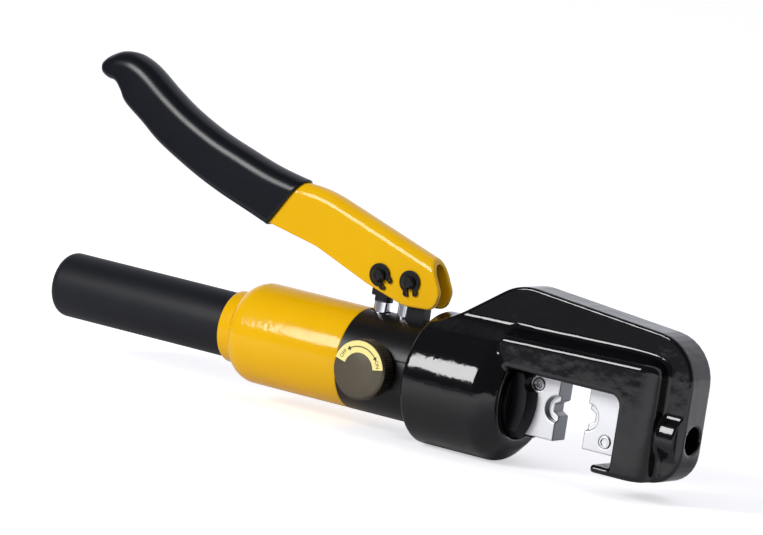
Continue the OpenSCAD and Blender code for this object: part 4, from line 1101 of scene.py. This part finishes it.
# %% Knob with a knurled rim
KNURLS = 84
KNURL_DEPTH = 0.35
KNOB_CHAMFER = 1.0
STEPS_PER_KNURL = 8
RIDGE_RISE, RIDGE_RUN = 0.15, 0.3
knob_low, knob_high = limits("release_knob")
knob_x = (knob_low[0] + knob_high[0]) / 2
knob_r = (knob_high[0] - knob_low[0]) / 2
chamfer_r = knob_r - KNOB_CHAMFER
face, rear = knob_low[1], knob_high[1]
# Rows (along, radius, share of the knurl's depth)
knob_rows = np.array([
    (face, 0, 0), (face, chamfer_r - 0.25, 0), (face + 0.1, chamfer_r, 0),
    (face + KNOB_CHAMFER, knob_r - RIDGE_RISE, 0.1), (face + KNOB_CHAMFER + RIDGE_RUN, knob_r, 1),
    (rear - KNOB_CHAMFER - RIDGE_RUN, knob_r, 1), (rear - KNOB_CHAMFER, knob_r - RIDGE_RISE, 0.1),
    (rear - 0.1, chamfer_r, 0), (rear, chamfer_r - 0.3, 0), (rear, 0, 0),
])
knob_points = lathe(knob_rows[:, :2], "Y", (knob_x, 0, 0), KNURLS * STEPS_PER_KNURL)
turn = np.linspace(0, TURN, KNURLS * STEPS_PER_KNURL, endpoint=False)
ridge = 1 - KNURL_DEPTH / knob_r * knob_rows[:, 2:] * (0.5 - 0.5 * np.cos(turn * KNURLS))
knob_points[..., 0] = knob_x + (knob_points[..., 0] - knob_x) * ridge
knob_points[..., 2] *= ridge
piece("knurled_knob", knob_points, "release", "knob_alloy", ["release_knob"], crease=30)

# %% [markdown]
# ## Dial
# A pale yellow film on the knob shows which way to turn it: a curved arrow between the words OFF
# and ON. The film is an arc of thin sheet, and the print is thin raised ink: an arc with two heads,
# worked out on the same polar grid, and two words made from text and laid along the arc.

# %% Finish: printed film and ink
tree, shader, place = new_finish("dial_print", "pale_yellow_film", Roughness=0.4)
fleck = add(tree, "TexNoise", {"Vector": place, "Scale": every(1.5), "Detail": 2})
tint = add(tree, "Mix", {"Factor": fleck, "A": "#fbea8c", "B": "#fff3a4"}, data_type="RGBA")
feed(shader, {"Base Color": tint})
tree, shader, place = new_finish("ink", "olive_printing_ink")
blot = add(tree, "TexNoise", {"Vector": place, "Scale": every(0.6), "Detail": 2})
rough = add(tree, "MapRange", {"Value": blot, "To Min": 0.4, "To Max": 0.6})
feed(shader, {"Base Color": "#3a3818", "Roughness": rough})

# %% Film and arrow
film_low, film_high = limits("release_dial")
FILM_IN, FILM_OUT = 7.3, 12.4
FILM_FROM, FILM_TO = (math.radians(a) for a in (10, 165))
ARROW_R = 9.9
ARROW_W = 0.45
ARROW_FLARE = ARROW_W * 2.4
ARROW_TIP = 0.02
ARROW_FROM, ARROW_TO = (math.radians(a) for a in (42, 122))
ARROW_HEAD = math.radians(9)
INK_T = 0.04


def arc_sheet(angle, inner, outer, bottom, top):
    """A closed strip along an arc: four edges (inner and outer, bottom and top) at each angle."""
    radius = np.stack([inner, outer, outer, inner], -1)
    level = np.broadcast_to([bottom, bottom, top, top], radius.shape)
    angle = np.broadcast_to(angle[:, None], radius.shape)
    return capped(np.stack([knob_x + radius * np.cos(angle), level, radius * np.sin(angle)], -1))


angle = np.linspace(FILM_FROM, FILM_TO, 49)
flat = np.ones_like(angle)
points = arc_sheet(angle, FILM_IN * flat, FILM_OUT * flat, film_high[1], film_low[1] + INK_T)
piece("dial_film", points, "release", "dial_print", ["release_dial"], crease=30)

angle = np.linspace(ARROW_FROM - ARROW_HEAD, ARROW_TO + ARROW_HEAD, 61)
beyond = np.maximum(ARROW_FROM - angle, angle - ARROW_TO)
spread = np.where(beyond > 0, ARROW_FLARE * (1 - beyond / ARROW_HEAD) + ARROW_TIP, ARROW_W / 2)
ink_top = film_low[1]
points = arc_sheet(angle, ARROW_R - spread, ARROW_R + spread, film_low[1] + INK_T, ink_top)
piece("dial_arrow", points, "release", "dial_print", crease=30, finish=finishes["ink"])

# %% Words on the dial
WORD_SIZE = 2.3


def dial_word(text, middle):
    """A word as a thin mesh along the arc: its baseline follows the arc clockwise, its top is outwards."""
    curve = bpy.data.curves.new("word_" + text, "FONT")
    curve.body = text
    curve.size = WORD_SIZE * MM
    curve.align_x, curve.align_y = "CENTER", "CENTER"
    curve.extrude = INK_T / 2 * MM
    source = stand("word_" + text, curve)
    bpy.context.view_layer.update()
    graph = bpy.context.evaluated_depsgraph_get()
    mesh = bpy.data.meshes.new_from_object(source.evaluated_get(graph))
    bpy.data.objects.remove(source)
    flat = np.empty(len(mesh.vertices) * 3, np.float32)
    mesh.vertices.foreach_get("co", flat)
    letters = flat.reshape(-1, 3) / MM
    polar = math.radians(middle) - letters[:, 0] / ARROW_R
    radius = ARROW_R + letters[:, 1]
    spots = np.column_stack([
        knob_x + radius * np.cos(polar), ink_top + INK_T / 2 - letters[:, 2], radius * np.sin(polar)])
    mesh.vertices.foreach_set("co", (spots * MM).astype(np.float32).ravel())
    mesh.update()
    close_up(mesh)
    placed("dial_word_" + text, mesh, "release", "dial_print", (), finishes["ink"])


for word, middle in (("OFF", 147), ("ON", 24)):
    dial_word(word, middle)

# %% [markdown]
# ## Springs and bladder
# Inside, five springs are wound from round wire: a circle carried along a helix. The oil bladder is a soft rubber
# bag with a rounded end.

# %% Springs
STEPS_PER_TURN = 40
WIRE_SIDES = 16


def spring(node, body, axis, wire, turns, joint, keep):
    """Wire wound in a helix along an axis, between the ends of its CAD node."""
    low, high = limits(node)
    along = "XYZ".index(axis)
    others = [i for i in range(3) if i != along]
    centre = (low + high) / 2
    coil = (high[others[0]] - low[others[0]]) / 2 - wire
    t = np.linspace(0, 1, turns * STEPS_PER_TURN)[:, None]
    around = np.linspace(0, TURN, WIRE_SIDES, endpoint=False)[None]
    reach = coil + wire * np.cos(around)
    points = np.zeros((t.size, WIRE_SIDES, 3))
    points[..., others[0]] = centre[others[0]] + reach * np.cos(TURN * turns * t)
    points[..., others[1]] = centre[others[1]] + reach * np.sin(TURN * turns * t)
    points[..., along] = low[along] + wire + (high[along] - low[along] - 2 * wire) * t + wire * np.sin(around)
    made = piece(node + "_coil", capped(points), body, "spring_steel", [node])
    centre[along] = high[along]
    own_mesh(made)


# Node, body, axis, half the wire's thickness, turns, joint and the length kept at the joint's limit
for row in (
    ("return_spring", "frame", "X", 0.5, 4, "ram_slide", 0.282),
    ("delivery_spring", "frame", "X", 0.3, 3, "delivery_lift", 0.86),
    ("relief_spring", "frame", "Y", 0.3, 3, "relief_lift", 0.81),
    ("moving_button_spring", "ram", "Y", 0.25, 2, "moving_button_press", 0.66),
    ("fixed_button_spring", "frame", "Y", 0.25, 2, "fixed_button_press", 0.66),
):
    spring(*row)

# %% Oil bladder
(bag_rear, *_), (bag_front, bag_r, _) = limits("oil_bladder")
BAG_T = 1.2
PLUG_R = 3
bag = outline([
    (bag_rear, PLUG_R, 0), (bag_rear, bag_r, 5), (bag_front, bag_r, 0.4),
    (bag_front, bag_r - BAG_T, 0.3), (bag_rear + BAG_T, bag_r - BAG_T, 4),
    (bag_rear + BAG_T, PLUG_R, 0)])
turned("oil_bag", bag, "frame", "seal_rubber", ["oil_bladder"], loop=True, sides=96)

# %% [markdown]
# ## The other CAD pieces
# Seals, glands, balls, plugs and tubes keep their CAD meshes. Each takes the finish of its own
# material slot in the record.

# %% Finishes of the CAD pieces
slot_of = {part["node"]: part["material_slot"] for part in frame["record"]["subparts"]}
kept = 0
for name, node in frame["nodes"].items():
    node.data.materials.clear()
    node.data.materials.append(finishes[slot_of[name]])
    kept += not node.hide_render
print("CAD pieces that stay:", kept)
